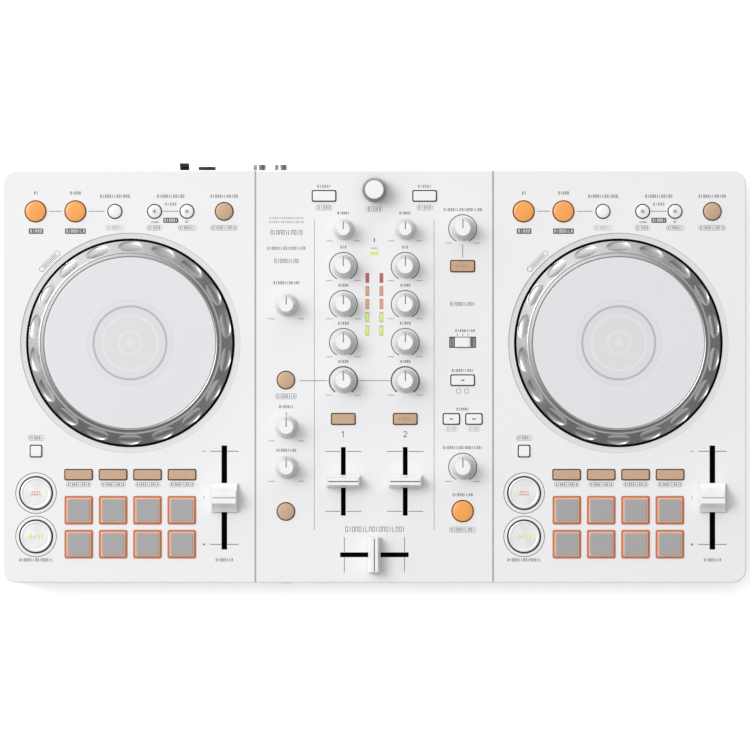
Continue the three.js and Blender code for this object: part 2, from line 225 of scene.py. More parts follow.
def jog_metal(name, centre):
    """Metallic paint over a turned rim: fine rings and flakes."""
    finish = Finish(name, metallic=1.0)
    flakes = finish.noise(0.5, 2)
    finish.set("Base Color", finish.mix(flakes, (0.47, 0.47, 0.475, 1), (0.57, 0.57, 0.575, 1)))
    finish.set("Roughness", 0.26 + 0.08 * flakes)
    rings = (finish.around(centre) * (math.tau / (0.9 * MM))).math("SINE")
    finish.set("Normal", finish.bump(rings, 0.004))
    return finish.material


def spun_cap_painted_sheen(name, centre):
    """A pearl-white cap with a spun face; the light and dark fans that meet in the middle are painted
    highlight and painted shade in its colour.
    """
    finish = Finish(name, metallic=0.35, coat_weight=0.3)
    rings = (finish.around(centre) * (math.tau / (1.0 * MM))).math("SINE")
    # painted highlight and shade: light and dark fans set by the angle about the centre
    painted_sheen_fans = (finish.bearing(centre) * 3 + 0.6).math("SINE") + (finish.bearing(centre) * 2).math("SINE")
    cloud = finish.noise(5, 2)
    painted_sheen_and_cloud = 0.5 + 0.2 * painted_sheen_fans + 0.2 * cloud
    finish.set("Base Color", finish.mix(painted_sheen_and_cloud, (0.72, 0.72, 0.73, 1), (0.87, 0.87, 0.875, 1)))
    finish.set("Roughness", 0.27 + 0.04 * rings)
    finish.set("Normal", finish.bump(rings, 0.02))
    return finish.material


def circuit_green():
    """Solder mask over copper runs."""
    finish = Finish("circuit_green", roughness=0.35)
    runs = finish.node(
        "TexBrick",
        {"offset": 0.5, "squash": 1.0},
        {"Vector": finish.place(), "Scale": 1 / (6 * MM), "Mortar Size": 0.04, "Color1": (0.01, 0.1, 0.04, 1),
         "Color2": (0.012, 0.13, 0.05, 1), "Mortar": (0.03, 0.22, 0.1, 1)},
    )
    finish.set("Base Color", runs)
    finish.set("Normal", finish.bump(finish.noise(0.8, 2), 0.02))
    return finish.material


def metal(name, colour, roughness):
    """Plated metal with faint drawing marks."""
    finish = Finish(name, metallic=1.0)
    marks = finish.noise(0.6, 4)
    finish.set("Base Color", finish.mix(marks, shade(colour, 0.9), shade(colour, 1.05)))
    finish.set("Roughness", roughness + 0.1 * marks)
    return finish.material


def ink(name, colour):
    """Screen-printed ink: matt, a little uneven. It also makes the painted shadow line at each jog dish's
    edge.
    """
    finish = Finish(name)
    patch = finish.noise(0.8, 3)
    finish.set("Base Color", finish.mix(patch, shade(colour, 0.9), shade(colour, 1.1)))
    finish.set("Roughness", 0.55 + 0.15 * patch)
    return finish.material


FINISHES = {look.name: look for look in (
    moulded("case_white", (0.80, 0.80, 0.815), 0.52, grain=0.4, depth=0.012, spread=0.012),
    moulded("case_black", (0.013, 0.013, 0.014), 0.6, grain=0.6, depth=0.03, specular_ior_level=0.25),
    moulded("rubber_black", (0.016, 0.016, 0.016), 0.85, grain=0.7, depth=0.04, spread=0.2),
    moulded("cap_white", (0.84, 0.84, 0.85), 0.34, grain=0.6, depth=0.006, spread=0.012),
    # painted shade: a darker copy of the knobs' white for their sides
    moulded("knob_side_painted_shade", (0.68, 0.68, 0.685), 0.4, grain=0.5, depth=0.006, spread=0.012),
    moulded("browse_grey", (0.17, 0.17, 0.175), 0.35, grain=0.5, depth=0.01, metallic=0.5),
    moulded("plate_satin", (0.71, 0.71, 0.735), 0.42, grain=0.5, depth=0.006, spread=0.01),
    moulded("plate_centre", (0.675, 0.675, 0.695), 0.4, grain=0.5, depth=0.006, spread=0.01),
    # dark hidden parts, and painted shade filling the keys' gaps
    moulded("dark_parts_and_gap_shade", (0.014, 0.014, 0.015), 0.6, spread=0.2),
    # painted shade filling the gaps round lit keys and lamps
    moulded("warm_gap_shade", (0.085, 0.035, 0.012), 0.6, spread=0.2),
    # dark parts under slots and wells, and painted shade lining their walls
    moulded("dark_parts_and_slot_shade", (0.006, 0.006, 0.006), 0.9, spread=0.2, specular_ior_level=0.15),
    lit("cap_tan", (0.53, 0.35, 0.225), (1.0, 0.62, 0.36), 0.02, 0.42),
    lit("cap_orange", (0.79, 0.325, 0.075), (1.0, 0.36, 0.07), 0.11, 0.25),
    moulded("pad_grey", (0.355, 0.35, 0.352), 0.62, grain=0.5, depth=0.02, spread=0.04),
    lit("pad_band", (0.70, 0.42, 0.30), (1.0, 0.5, 0.3), 0.06, 0.5),
    lit("pad_rim", (0.52, 0.15, 0.06), (1.0, 0.22, 0.06), 0.05, 0.5),
    # painted shade: a darker copy of the case's white for the jog dishes
    moulded("dish_painted_shade", (0.70, 0.70, 0.715), 0.5, grain=0.4, depth=0.012, spread=0.012),
    # painted shade: grey for the floor of the seam grooves
    moulded("seam_painted_shade", (0.4, 0.4, 0.405), 0.6, spread=0.05),
    ink("ink_ring", (0.47, 0.46, 0.49)),
    # painted shadow: the grey line at each jog dish's outer step
    ink("dish_lip_painted_shadow", (0.52, 0.52, 0.53)),
    ink("plate_light", (0.72, 0.72, 0.738)),
    ink("plate_halo", (0.675, 0.675, 0.70)),
    ink("tan_mark", (0.42, 0.25, 0.15)),
    ink("ink_dark", (0.07, 0.07, 0.075)),
    ink("ink_text", (0.05, 0.05, 0.055)),
    ink("ink_line", (0.36, 0.36, 0.37)),
    ink("ink_grey", (0.12, 0.12, 0.125)),
    ink("ink_pale", (0.36, 0.36, 0.375)),
    lit("lamp_green", (0.5, 0.6, 0.14), (0.8, 1.0, 0.2), 0.22),
    lit("lamp_amber", (0.6, 0.31, 0.17), (1.0, 0.4, 0.1), 0.08),
    # also used on the red jack insert, which is no lamp: painted glow
    lit("lamp_red", (0.4, 0.09, 0.12), (1.0, 0.1, 0.12), 0.1),
    metal("nickel", (0.62, 0.61, 0.58), 0.22),
    metal("dark_nickel", (0.38, 0.38, 0.38), 0.1),
    circuit_green(),
)}


# ---------------------------------------------------------------- parts in millimetres
def eased(points):
    """A profile's points, with each corner that gives a third number rounded by that length."""
    path = []
    steps = 4
    for index, point in enumerate(points):
        corner = Vector(point[:2])
        if len(point) == 2:
            path.append(corner)
            continue
        before = Vector(points[index - 1][:2])
        after = Vector(points[(index + 1) % len(points)][:2])
        start = corner + (before - corner).normalized() * point[2]
        end = corner + (after - corner).normalized() * point[2]
        for step in range(steps + 1):
            share = step / steps
            path.append(start.lerp(corner, share).lerp(corner.lerp(end, share), share))
    return path


def cleaned(part):
    bmesh.ops.remove_doubles(part, verts=part.verts, dist=1e-4)
    bmesh.ops.recalc_face_normals(part, faces=part.faces)
    return part


def bevelled(part, edges, size, steps, **options):
    bmesh.ops.bevel(part, geom=edges, offset=size, segments=steps, profile=0.5, affect="EDGES",
                    material=-1, **options)
    return part


def moved(part, x=0.0, y=0.0, z=0.0):
    bmesh.ops.translate(part, verts=part.verts, vec=(x, y, z))
    return part


def rotated(part, angle, axis="Z"):
    """A part turned about one of the origin's axes, by radians."""
    bmesh.ops.rotate(part, verts=part.verts, cent=(0, 0, 0), matrix=Matrix.Rotation(angle, 3, axis))
    return part


def tilted(part, degrees, x, y):
    return moved(rotated(part, math.radians(degrees)), x, y)


def lying(part, x, y, z):
    """A part turned about Z is laid with its axis along +Y and moved to x, y, z."""
    return moved(rotated(part, -math.pi / 2, "X"), x, y, z)


def turned(profile, x=0.0, y=0.0, segments=48):
    """A solid of revolution about a vertical line, from [radius, height] points."""
    part = bmesh.new()
    points = [part.verts.new((max(p.x, 0), 0, p.y)) for p in eased(profile)]
    edges = [part.edges.new(pair) for pair in zip(points, points[1:])]
    bmesh.ops.spin(part, geom=points + edges, cent=(0, 0, 0), axis=(0, 0, 1), angle=math.tau,
                   steps=segments, use_merge=True, use_duplicate=False)
    return cleaned(moved(part, x, y))


def slab(width, depth, low, high, x=0.0, y=0.0, corner=0.0, edge=0.0, taper=1.0, steps=6):
    """A box with rounded upright corners, an eased top edge and, under 1, a narrower top."""
    part = bmesh.new()
    bmesh.ops.create_cube(part, size=1)
    bmesh.ops.scale(part, verts=part.verts, vec=(width, depth, high - low))
    if corner:
        upright = [e for e in part.edges if abs(e.verts[0].co.z - e.verts[1].co.z) > 1e-6]
        bevelled(part, upright, corner, steps)
    top = [v for v in part.verts if v.co.z > 0]
    bmesh.ops.scale(part, verts=top, vec=(taper, taper, 1))
    if edge:
        bevelled(part, [e for e in part.edges if all(v.co.z > 0 for v in e.verts)], edge, 3)
    return cleaned(moved(part, x, y, (low + high) / 2))


def disc(radius, low, high, x=0.0, y=0.0, segments=48):
    part = bmesh.new()
    bmesh.ops.create_cone(part, cap_ends=True, segments=segments, radius1=radius, radius2=radius,
                          depth=high - low)
    return moved(part, x, y, (low + high) / 2)


def arc(radius, stroke, low, high, x=0.0, y=0.0, start=0.0, sweep=360.0, segments=64):
    """A flat ring, or a stretch of one, that is stroke wide about radius. Degrees run from +X."""
    part = bmesh.new()
    inner, outer = radius - stroke / 2, radius + stroke / 2
    outline = ((inner, low), (outer, low), (outer, high), (inner, high))
    points = [part.verts.new((r, 0, z)) for r, z in outline]
    closed = sweep >= 360
    edges = [part.edges.new(pair) for pair in zip(points, points[1:] + points[:1])]
    geometry = points + edges
    if not closed:
        geometry.append(part.faces.new(points))
    steps = max(4, round(segments * sweep / 360))
    rotated(part, math.radians(start))
    bmesh.ops.spin(part, geom=geometry, cent=(0, 0, 0), axis=(0, 0, 1), angle=math.radians(sweep),
                   steps=steps, use_merge=closed, use_duplicate=False)
    return cleaned(moved(part, x, y))


def ridge(profile, length, along="x"):
    """A bar whose [across, height] outline runs along x or y, centred on the origin."""
    part = bmesh.new()
    points = [part.verts.new((-length / 2, p.x, p.y)) for p in eased(profile)]
    face = part.faces.new(points)
    swept = bmesh.ops.extrude_face_region(part, geom=[face])["geom"]
    far = [v for v in swept if isinstance(v, bmesh.types.BMVert)]
    bmesh.ops.translate(part, verts=far, vec=(length, 0, 0))
    if along == "y":
        rotated(part, math.pi / 2)
    return cleaned(part)


def linked(name, data):
    made = bpy.data.objects.new(name, data)
    bpy.context.scene.collection.objects.link(made)
    return made


def as_mesh(part, name="scratch"):
    """A part's mesh, when the part is done with."""
    mesh = bpy.data.meshes.new(name)
    part.to_mesh(mesh)
    part.free()
    return mesh


def take_in(whole, part):
    """Adds a part to another, whole, and frees it."""
    mesh = as_mesh(part)
    whole.from_mesh(mesh)
    bpy.data.meshes.remove(mesh)


class Piece:
    """Parts in millimetres, each with its finish, gathered into one object of the real thing."""

    def __init__(self, name, body="case"):
        self.name, self.body = name, body
        self.mesh = bmesh.new()
        self.looks = []

    def add(self, part, look, picked=None, picked_look=None):
        """Takes a part in; faces that `picked` accepts get the second finish."""
        self.looks += [name for name in (look, picked_look) if name and name not in self.looks]
        for face in part.faces:
            second = picked is not None and picked(face)
            face.material_index = self.looks.index(picked_look if second else look)
        take_in(self.mesh, part)
        return self

    def finish(self, slot, *replaced, sharp=28):
        bmesh.ops.scale(self.mesh, verts=self.mesh.verts, vec=(MM, MM, MM))
        mesh = as_mesh(self.mesh, self.name)
        for look in self.looks:
            mesh.materials.append(FINISHES[look])
        mesh.shade_smooth()
        mesh.set_sharp_from_angle(angle=math.radians(sharp))
        made = linked(self.name, mesh)
        made.modifiers.new("flat faces stay flat", "WEIGHTED_NORMAL").keep_sharp = True
        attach(made, self.body)
        if replaced:
            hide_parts(*replaced)


def carved(part, cutters):
    """part with the cutters' volumes taken away."""
    tool = bmesh.new()
    for cutter in cutters:
        take_in(tool, cutter)
    body, knife = linked("body", as_mesh(part)), linked("knife", as_mesh(tool))
    carve = body.modifiers.new("carve", "BOOLEAN")
    carve.operation, carve.solver, carve.object = "DIFFERENCE", "EXACT", knife
    bpy.context.view_layer.update()
    result = bpy.data.meshes.new_from_object(body.evaluated_get(bpy.context.evaluated_depsgraph_get()))
    made = bmesh.new()
    made.from_mesh(result)
    scraps = [body.data, knife.data, result]
    bpy.data.objects.remove(body)
    bpy.data.objects.remove(knife)
    for mesh in scraps:
        bpy.data.meshes.remove(mesh)
    return made


def eased_edges(part, size):
    """Every edge sharper than 50 degrees gets a small round."""
    sharp = [e for e in part.edges if e.is_manifold and math.degrees(e.calc_face_angle(0)) > 50]
    return bevelled(part, sharp, size, 2, clamp_overlap=True)


# ---------------------------------------------------------------- the controls
# A key is x, y, its size (a radius, or a width and depth) and its finish.
TOP_ROW = 85.2
LOOP_KEYS = [(-61.4, TOP_ROW, 6.45, "cap_orange"), (-35.6, TOP_ROW, 6.45, "cap_orange"),
             (-10.0, TOP_ROW, 4.2, "cap_white")]
CALL_KEYS = [(15.7, TOP_ROW, 4.15, "cap_white"), (36.7, TOP_ROW, 4.15, "cap_white")]
SYNC_KEYS = [(60.8, TOP_ROW, 5.4, "cap_tan")]
SHIFT_KEYS = [(-61.1, -70.1, (6.8, 6.8), "cap_white")]
CUE_KEY = (-61.1, -97.3, 10.05)
PLAY_KEY = (-61.1, -125.4, 10.05)
MODE_KEYS = [(x, -85.4, (17.2, 6.0), "cap_tan") for x in (-33.5, -11.15, 11.15, 33.5)]
PAD_PITCH = 22.25
PADS = [((column - 1.5) * PAD_PITCH, row) for row in (-108.4, -130.4) for column in range(4)]
PAD = 18.3
TEMPO = (60.9, -100.2)
TEMPO_SLOT = (3.6, 67.4)
FADER_SLOT = (3.1, 44.4)
SWITCH_SLOT = (17.3, 7.2)
SWITCH_TRAVEL = 3.4
WHITE_KEY = (14.6, 6.2)
BEAT_STEP = 7.3


def single(node, size, look):
    return (node, [(*middle(node).xy, size, look)])


# A group of keys is its node and its keys.
MIXER_KEYS = [
    single("load_button_left", WHITE_KEY, "cap_white"),
    single("load_button_right", WHITE_KEY, "cap_white"),
    single("smart_filter_button", 5.35, "cap_tan"),
    single("smart_fader_button", 5.35, "cap_tan"),
    single("channel_cue_1", (14.7, 6.4), "cap_tan"),
    single("channel_cue_2", (14.7, 6.4), "cap_tan"),
    single("master_cue_button", (14.8, 6.6), "cap_tan"),
    single("effect_select_button", WHITE_KEY, "cap_white"),
    single("effect_on_button", 6.55, "cap_orange"),
    ("beat_buttons", [(middle("beat_buttons").x + side * BEAT_STEP, middle("beat_buttons").y, (9.9, 6.2),
                       "cap_white") for side in SIDES]),
]


def deck_keys(side):
    """The plain keys of a deck, placed on the case."""
    groups = {"loop_buttons": LOOP_KEYS, "call_buttons": CALL_KEYS, "sync_button": SYNC_KEYS,
              "shift_button": SHIFT_KEYS, "mode_buttons": MODE_KEYS}
    return [(f"{name}_{side}", [(*on_deck(side, x, y), size, look) for x, y, size, look in keys])
            for name, keys in groups.items()]


def cap(x, y, size, low, high):
    """A key's cap: a shallow dome when round, with a flat face and eased edges when square."""
    if isinstance(size, tuple):
        return slab(*size, low, high, x, y, corner=0.9, edge=0.45)
    foot = high - DOME / 2
    turns = [math.radians(degrees) for degrees in range(12, 90, 12)]
    dome = [(size * math.cos(turn), foot + DOME * math.sin(turn)) for turn in turns]
    return turned([(0, low), (size, low), (size, foot), *dome, (0, foot + DOME)], x, y, 64)


def gap_shade_frame(x, y, size):
    """A dark frame that fills a key's gap in the panel: painted shade standing in for the gap's shadow."""
    low, high = UNDER + 0.1, PANEL - 0.1
    if isinstance(size, tuple):
        width, depth = size
        outer = slab(width + 2 * KEY_GAP, depth + 2 * KEY_GAP, low, high, x, y, corner=1.15, steps=4)
        inner = slab(width + 0.12, depth + 0.12, low - 1, high + 1, x, y, corner=0.85, steps=4)
        return carved(outer, [inner])
    return arc(size + KEY_GAP / 2 + 0.03, KEY_GAP - 0.06, low, high, x, y)


def gap_shade_frames(name, keys):
    made = Piece(name)
    # each key's gap is filled with painted shade, dark or warm by the key's finish
    for x, y, size, look in keys:
        made.add(gap_shade_frame(x, y, size), "dark_parts_and_gap_shade" if look == "cap_white" else "warm_gap_shade")
    made.finish("black_case")


SLOT_OF = {"cap_orange": "orange_cap", "cap_white": "white_cap", "cap_tan": "tan_cap"}


def key_pieces(name, keys):
    """One moulded group of keys: caps and stems on a shared flange."""
    flange_high = UNDER - 0.35
    group = Piece(name + "_keys", name)
    for x, y, size, look in keys:
        group.add(cap(x, y, size, flange_high - 0.02, PANEL + CAP_RISE), look)
        group.add(slab(3, 3, FLANGE_LOW - 7.5, FLANGE_LOW, x, y), "dark_parts_and_gap_shade")
        if name.startswith(("effect_select", "beat")):
            group.add(slab(2.2, 0.8, PANEL, PANEL + CAP_RISE + 0.02, x, y), "ink_dark")
        if name.startswith(("master_cue", "channel_cue_2")):
            marks(group, x, y, 9, 1.9, "tan_mark", PANEL + CAP_RISE + 0.01)
        if name.startswith("call"):
            crown = PANEL + CAP_RISE + DOME / 2
            group.add(disc(0.75, PANEL, crown + 0.02, x, y, 20), "ink_dark")
            group.add(arc(1.5, 0.25, PANEL, crown, x, y, segments=24), "ink_pale")
    flange = slab(*extent(name).xy, FLANGE_LOW, flange_high, *middle(name).xy, corner=1.2)
    group.add(flange, "dark_parts_and_gap_shade")
    group.finish(SLOT_OF[keys[0][3]], name)


def keys_and_gap_shades(place, groups):
    for name, keys in groups:
        key_pieces(name, keys)
    gap_shade_frames(f"button_gap_shades_{place}", [key for _, keys in groups for key in keys])


# ---------------------------------------------------------------- case
def key_hole(x, y, size, gap=KEY_GAP + 0.02):
    if isinstance(size, tuple):
        return slab(size[0] + 2 * gap, size[1] + 2 * gap, *THROUGH, x, y, corner=1.2, steps=4)
    return disc(size + gap, *THROUGH, x, y, 64)


def wall_hole(radius, x, y):
    return lying(disc(radius, -4, 4, segments=40), x, y, PORT_Z)


def in_shaded_dish(face):
    """Whether a face belongs to the shallow dish round a jog wheel, which is painted darker as shade."""
    spot = face.calc_center_median()
    floor = face.normal.z > 0.5 and spot.z < PANEL - 0.3
    return floor and any(WELL_R - 0.2 < (spot - jog).xy.length < DISH_R + 0.1 for jog in DECKS.values())


def panel_holes():
    """Cutters for every opening in the control panel."""
    holes = [key_hole(x, y, size) for _, keys in MIXER_KEYS for x, y, size, _ in keys]
    for side in DECKS:
        holes += [key_hole(x, y, size) for _, keys in deck_keys(side) for x, y, size, _ in keys]
        holes += [key_hole(*on_deck(side, x, y), size, CUE_GAP + 0.02) for x, y, size in (CUE_KEY, PLAY_KEY)]
        holes += [key_hole(*on_deck(side, x, y), (PAD, PAD), 0.1) for x, y in PADS]
        holes.append(slab(*TEMPO_SLOT, *THROUGH, *on_deck(side, *TEMPO)))
    slots = {"channel_fader_1": FADER_SLOT, "channel_fader_2": FADER_SLOT, "crossfader": FADER_SLOT[::-1],
             "effect_channel_switch": SWITCH_SLOT}
    return holes + [slab(*size, *THROUGH, *middle(node).xy) for node, size in slots.items()]


def port_holes():
    """Cutters for the sockets in the rear and front walls."""
    holes = [wall_hole(5, MIC_X, REAR - 1), wall_hole(3.3, HEADPHONE_X, FRONT + 1)]
    holes += [wall_hole(4.7, x, REAR - 1) for x in RCA_XS]
    holes += [lying(slab(9.2, 3.6, -4, 4, corner=1.7), x, REAR - 1, PORT_Z) for x in USB_XS]
    holes.append(lying(slab(7, 3.2, -4, 4, corner=0.6), LOCK_X, REAR - 1, PORT_Z))
    return holes


def well_hole(jog):
    """The jog wheel's well and, round it, the shallow dish."""
    return turned([(0, UNDER - 1), (WELL_R, UNDER - 1), (WELL_R, PANEL - 0.95), (DISH_R, PANEL - 0.7),
                   (DISH_R, PANEL + 1), (0, PANEL + 1)], *jog.xy, 180)


def top_case():
    split = CASE_LOW.z
    x, y = CASE_MID.xy
    shell = slab(CASE_W, CASE_D, split, PANEL, x, y, corner=CASE_R, edge=1.2, steps=12)
    inside = slab(CASE_W - 2 * SKIN, CASE_D - 2 * SKIN, split - 1, UNDER, x, y, corner=CASE_R - SKIN, steps=8)
    shell = carved(shell, [inside])
    shell = carved(shell, panel_holes() + port_holes() + [well_hole(jog) for jog in DECKS.values()])
    shell = carved(shell, [slab(1.0, CASE_D + 4, PANEL - 0.8, PANEL + 1, side * SEAM_X, y) for side in SIDES])
    bmesh.ops.dissolve_degenerate(shell, edges=shell.edges, dist=1e-4)
    # the dish faces take the darker white as painted shade
    case = Piece("case_top").add(eased_edges(shell, 0.16), "case_white", in_shaded_dish, "dish_painted_shade")
    for side in SIDES:
        # grey strips in the grooves' floors: painted shade
        case.add(slab(0.96, CASE_D - 1, PANEL - 0.9, PANEL - 0.55, side * SEAM_X, y), "seam_painted_shade")
    for jog in DECKS.values():
        # a grey ring on each dish's outer step: a painted shadow line
        case.add(arc(DISH_R - 0.16, 0.3, PANEL - 1.2, PANEL - 0.66, *jog.xy, segments=180), "dish_lip_painted_shadow")
    case.finish("white_case", "top_case", sharp=25)


def jog_wells():
    """The dark bowls that the jog wheels turn in; each bowl's liner covers the well's white wall with painted
    shade.
    """
    outer, liner = WELL_R + 1.8, WELL_R - 0.05
    profile = [(5, WELL_Z - 2), (outer, WELL_Z - 2), (outer, UNDER - 0.05), (liner, UNDER - 0.05),
               (liner, PANEL - 1.45), (liner - 0.3, PANEL - 1.45), (liner - 0.3, WELL_Z), (5, WELL_Z),
               (5, WELL_Z - 2)]
    for side, jog in DECKS.items():
        Piece(f"jog_well_{side}").add(turned(profile, *jog.xy, 96), "dark_parts_and_slot_shade").finish("black_case")


FEET = [f"foot_{end}_{side}" for end in ("front", "rear") for side in ("left", "right")]
SCREWS = [(x, y) for x in (-222, -77, 77, 222) for y in (FRONT + 14, REAR - 14)]


def bottom_case():
    low, high = corners("bottom_case")
    floor, rim = low.z, CASE_LOW.z - 0.3
    mid = CASE_MID
    tray = slab(CASE_W - 2, CASE_D - 2, floor - 4, rim, mid.x, mid.y, corner=CASE_R - 1, steps=10)
    bottom = [v for v in tray.verts if v.co.z < floor]
    bmesh.ops.translate(tray, verts=bottom, vec=(0, 0, 4))
    bevelled(tray, [e for e in tray.edges if all(abs(v.co.z - floor) < 0.01 for v in e.verts)], 2, 4)
    wall = SKIN + 1.9
    pocket = slab(CASE_W - 2 * wall, CASE_D - 2 * wall, floor + SKIN, rim + 2, mid.x, mid.y, corner=5)
    cuts = [pocket]
    cuts += [disc(10.4, floor - 1, floor + 1, *middle(node).xy, 48) for node in FEET]
    cuts += [disc(3.6, floor - 1, floor + 1.6, x, y, 24) for x, y in SCREWS]
    vents = [side * 120 + (column - 6.5) * 5 for column in range(14) for side in SIDES]
    cuts += [slab(2, 26, floor - 1, floor + SKIN + 1, x, mid.y, corner=0.95, steps=4) for x in vents]
    case = Piece("case_bottom").add(eased_edges(carved(tray, cuts), 0.25), "case_black")
    arm = [(REAR - 0.9, floor + 4), (high.y, floor + 4, 1.2), (high.y, high.z, 0.7),
           (high.y - 1.9, high.z, 0.7), (high.y - 2.0, floor + 7.7, 1.0), (REAR - 0.9, floor + 7.7)]
    case.add(moved(ridge(arm, 5.9), HOOK_X), "case_black")
    case.finish("black_case", "bottom_case")


def feet_and_screws():
    for node in FEET:
        radius, top = extent(node).x / 2, corners(node)[1].z
        profile = [(0, 0), (radius * 0.55, 0), (radius * 0.6, 0.35), (radius * 0.68, 0.35),
                   (radius * 0.73, 0), (radius, 0, 0.9), (radius, top, 0.2), (0, top)]
        foot = Piece(node.replace("foot", "rubber_foot"))
        foot.add(turned(profile, *middle(node).xy), "rubber_black").finish("foot_rubber", node)
    floor = corners("bottom_case")[0].z
    for index, (x, y) in enumerate(SCREWS):
        head = turned([(0, floor + 0.3), (2.6, floor + 0.3, 0.4), (2.6, floor + 1.55), (1.2, floor + 1.55),
                       (1.2, floor + 5), (0, floor + 5)], x, y, 24)
        head = carved(head, [slab(2.8, 0.7, floor - 0.5, floor + 0.9, x, y)])
        head = carved(head, [slab(0.7, 2.8, floor - 0.6, floor + 0.95, x, y)])
        Piece(f"case_screw_{index + 1}").add(head, "nickel").finish("jack_plastic")


# ---------------------------------------------------------------- print on the panel
def marks(piece, x, y, width, height, look="ink_text", top=PRINT[1]):
    """A generic row of small boxes and bars, where a caption would be."""
    stroke = 0.33
    glyph = height * 0.48
    count = max(1, round(width / (glyph + 0.55)))
    pitch = width / count

    def bar(at_x, at_y, wide, tall):
        piece.add(slab(wide, tall, PRINT[0], top, at_x, at_y), look)

    for index in range(count):
        left = x - width / 2 + index * pitch + pitch / 2 - glyph / 2
        kind = "boxed bar box gate box bar post gate".split()[index % 8]
        if kind == "bar":
            bar(left + glyph / 2, y, stroke, height)
            continue
        bar(left + stroke / 2, y, stroke, height)
        if kind != "post":
            bar(left + glyph - stroke / 2, y, stroke, height)
            bar(left + glyph / 2, y + (height - stroke) / 2, glyph - 2 * stroke, stroke)
        if kind != "gate":
            bar(left + glyph / 2 + stroke / 2, y - (height - stroke) / 2, glyph - 2 * stroke, stroke)


def line(piece, x, y, width, depth, look="ink_grey"):
    piece.add(slab(width, depth, *PRINT, x, y), look)


def frame_box(piece, x, y, width, depth, look="ink_grey"):
    """A thin outlined box with marks in it, for a key's second use."""
    stroke = 0.22
    for side in SIDES:
        line(piece, x, y + side * (depth - stroke) / 2, width - 1, stroke, look)
        line(piece, x + side * (width - stroke) / 2, y, stroke, depth - 1, look)
    marks(piece, x, y, width - 1.6, depth - 1.4, look)


def filled_box(piece, x, y, width, depth):
    """A dark label with pale marks."""
    piece.add(slab(width, depth, *PRINT, x, y, corner=0.5, steps=3), "ink_dark")
    marks(piece, x, y, width - 1.2, depth - 1.3, "case_white", PANEL + 2 * PRINT_LIFT)


def printed_ring(piece, x, y, stroke=0.6, reach=153):
    """A knob's scale: an arc open at the bottom."""
    piece.add(arc(9.05, stroke, *PRINT, x, y, 90 - reach, 2 * reach), "ink_dark")


def scale_ends(piece, x, y, out=9.2, drop=9.3):
    for side in SIDES:
        line(piece, x + side * out, y - drop, 4.2, 0.35)


def slanted_label():
    """The parts of a long label with an arrow at each end, lying along X."""
    def stroke(x, y, wide, deep, turn=0):
        return tilted(slab(wide, deep, *PRINT), turn, x, y)

    ticks = [stroke(step * 1.1, 0, 0.4, 1.6) for step in range(-5, 6)]
    rails = [stroke(0, side * 1.5, 15, 0.22) for side in SIDES]
    barbs = [stroke(end * 8.2, side * 1.1, 2.4, 0.25, -end * side * 42) for end in SIDES for side in SIDES]
    return ticks + rails + barbs


# Captions round a deck: x, y, width, height and ink.
DECK_CAPTIONS = [
    (-61.1, 97.1, 3.0, 2.0, "ink_text"),
    (-35.6, 97.1, 7.4, 2.0, "ink_text"),
    (-10, 95, 19.5, 2.1, "ink_text"),
    (26.1, 95, 18, 2.1, "ink_text"),
    (26.1, 89.9, 7.8, 1.9, "ink_grey"),
    (60.7, 95, 18, 2.0, "ink_text"),
    (16, 78.2, 5, 1.1, "ink_grey"),
    (36.7, 78.5, 2.3, 1.5, "ink_grey"),
    (-61.1, -140.6, 22, 2.0, "ink_text"),
    (60.9, -140.6, 11.6, 2.0, "ink_text"),
]


def print_deck(side):
    """Everything that is printed round one deck's controls."""
    sheet = Piece(f"panel_print_{side}")
    for x, y, wide, tall, look in DECK_CAPTIONS:
        marks(sheet, *on_deck(side, x, y), wide, tall, look)
    for x, y, wide, deep in ((-61.1, 72.4, 9.5, 3.5), (-35.6, 72.4, 13.5, 3.5), (26.2, 79.4, 9.7, 3.3)):
        filled_box(sheet, *on_deck(side, x, y), wide, deep)
    for x, wide in ((-10, 11.8), (15.5, 9.6), (36.8, 11.6), (60.7, 17.6)):
        frame_box(sheet, *on_deck(side, x, 74.6), wide, 3.4, "ink_pale" if x < 0 else "ink_grey")
    for x, wide in ((-48.5, 8.4), (-21.9, 10.2), (26.2, 10.4)):
        line(sheet, *on_deck(side, x, 85.3), wide, 0.4)
    frame_box(sheet, *on_deck(side, -61.1, -61.6), 10.2, 3.4)
    for x, y, _ in (CUE_KEY, PLAY_KEY):
        sheet.add(arc(13.15, 0.4, *PRINT, *on_deck(side, x, y), segments=96), "ink_text")
    for x, y, _, _ in MODE_KEYS:
        frame_box(sheet, *on_deck(side, x, y - 6.4), 16.2, 3.1)
    x, y = on_deck(side, *TEMPO)
    for end in (-30.3, 30):
        for shift, wide in ((-5.6, 7.2), (5.6, 7.2), (-13.2, 1.8)):
            line(sheet, x + shift, y + end, wide, 0.5)
    line(sheet, x - 13.2, y - 30.3, 0.5, 1.8)
    line(sheet, x - 13.2, y, 0.5, 2.2, "ink_pale")
    for part in slanted_label():
        sheet.add(tilted(part, 45, *on_deck(side, -52.3, 52.9)), "ink_text")
    sheet.finish("black_case")


def numeral(piece, digit, x, y):
    """A printed channel number."""
    if digit == 1:
        line(piece, x, y, 0.5, 3.9, "ink_dark")
        piece.add(tilted(slab(1.4, 0.45, *PRINT), 38, x - 0.55, y + 1.4), "ink_dark")
        return
    line(piece, x, y - 1.72, 2.6, 0.46, "ink_dark")
    piece.add(arc(1.08, 0.48, *PRINT, x, y + 0.63, -30, 190, 32), "ink_dark")
    diagonal = slab(0.48, 2.7, *PRINT)
    piece.add(tilted(diagonal, -44, x - 0.15, y - 0.7), "ink_dark")


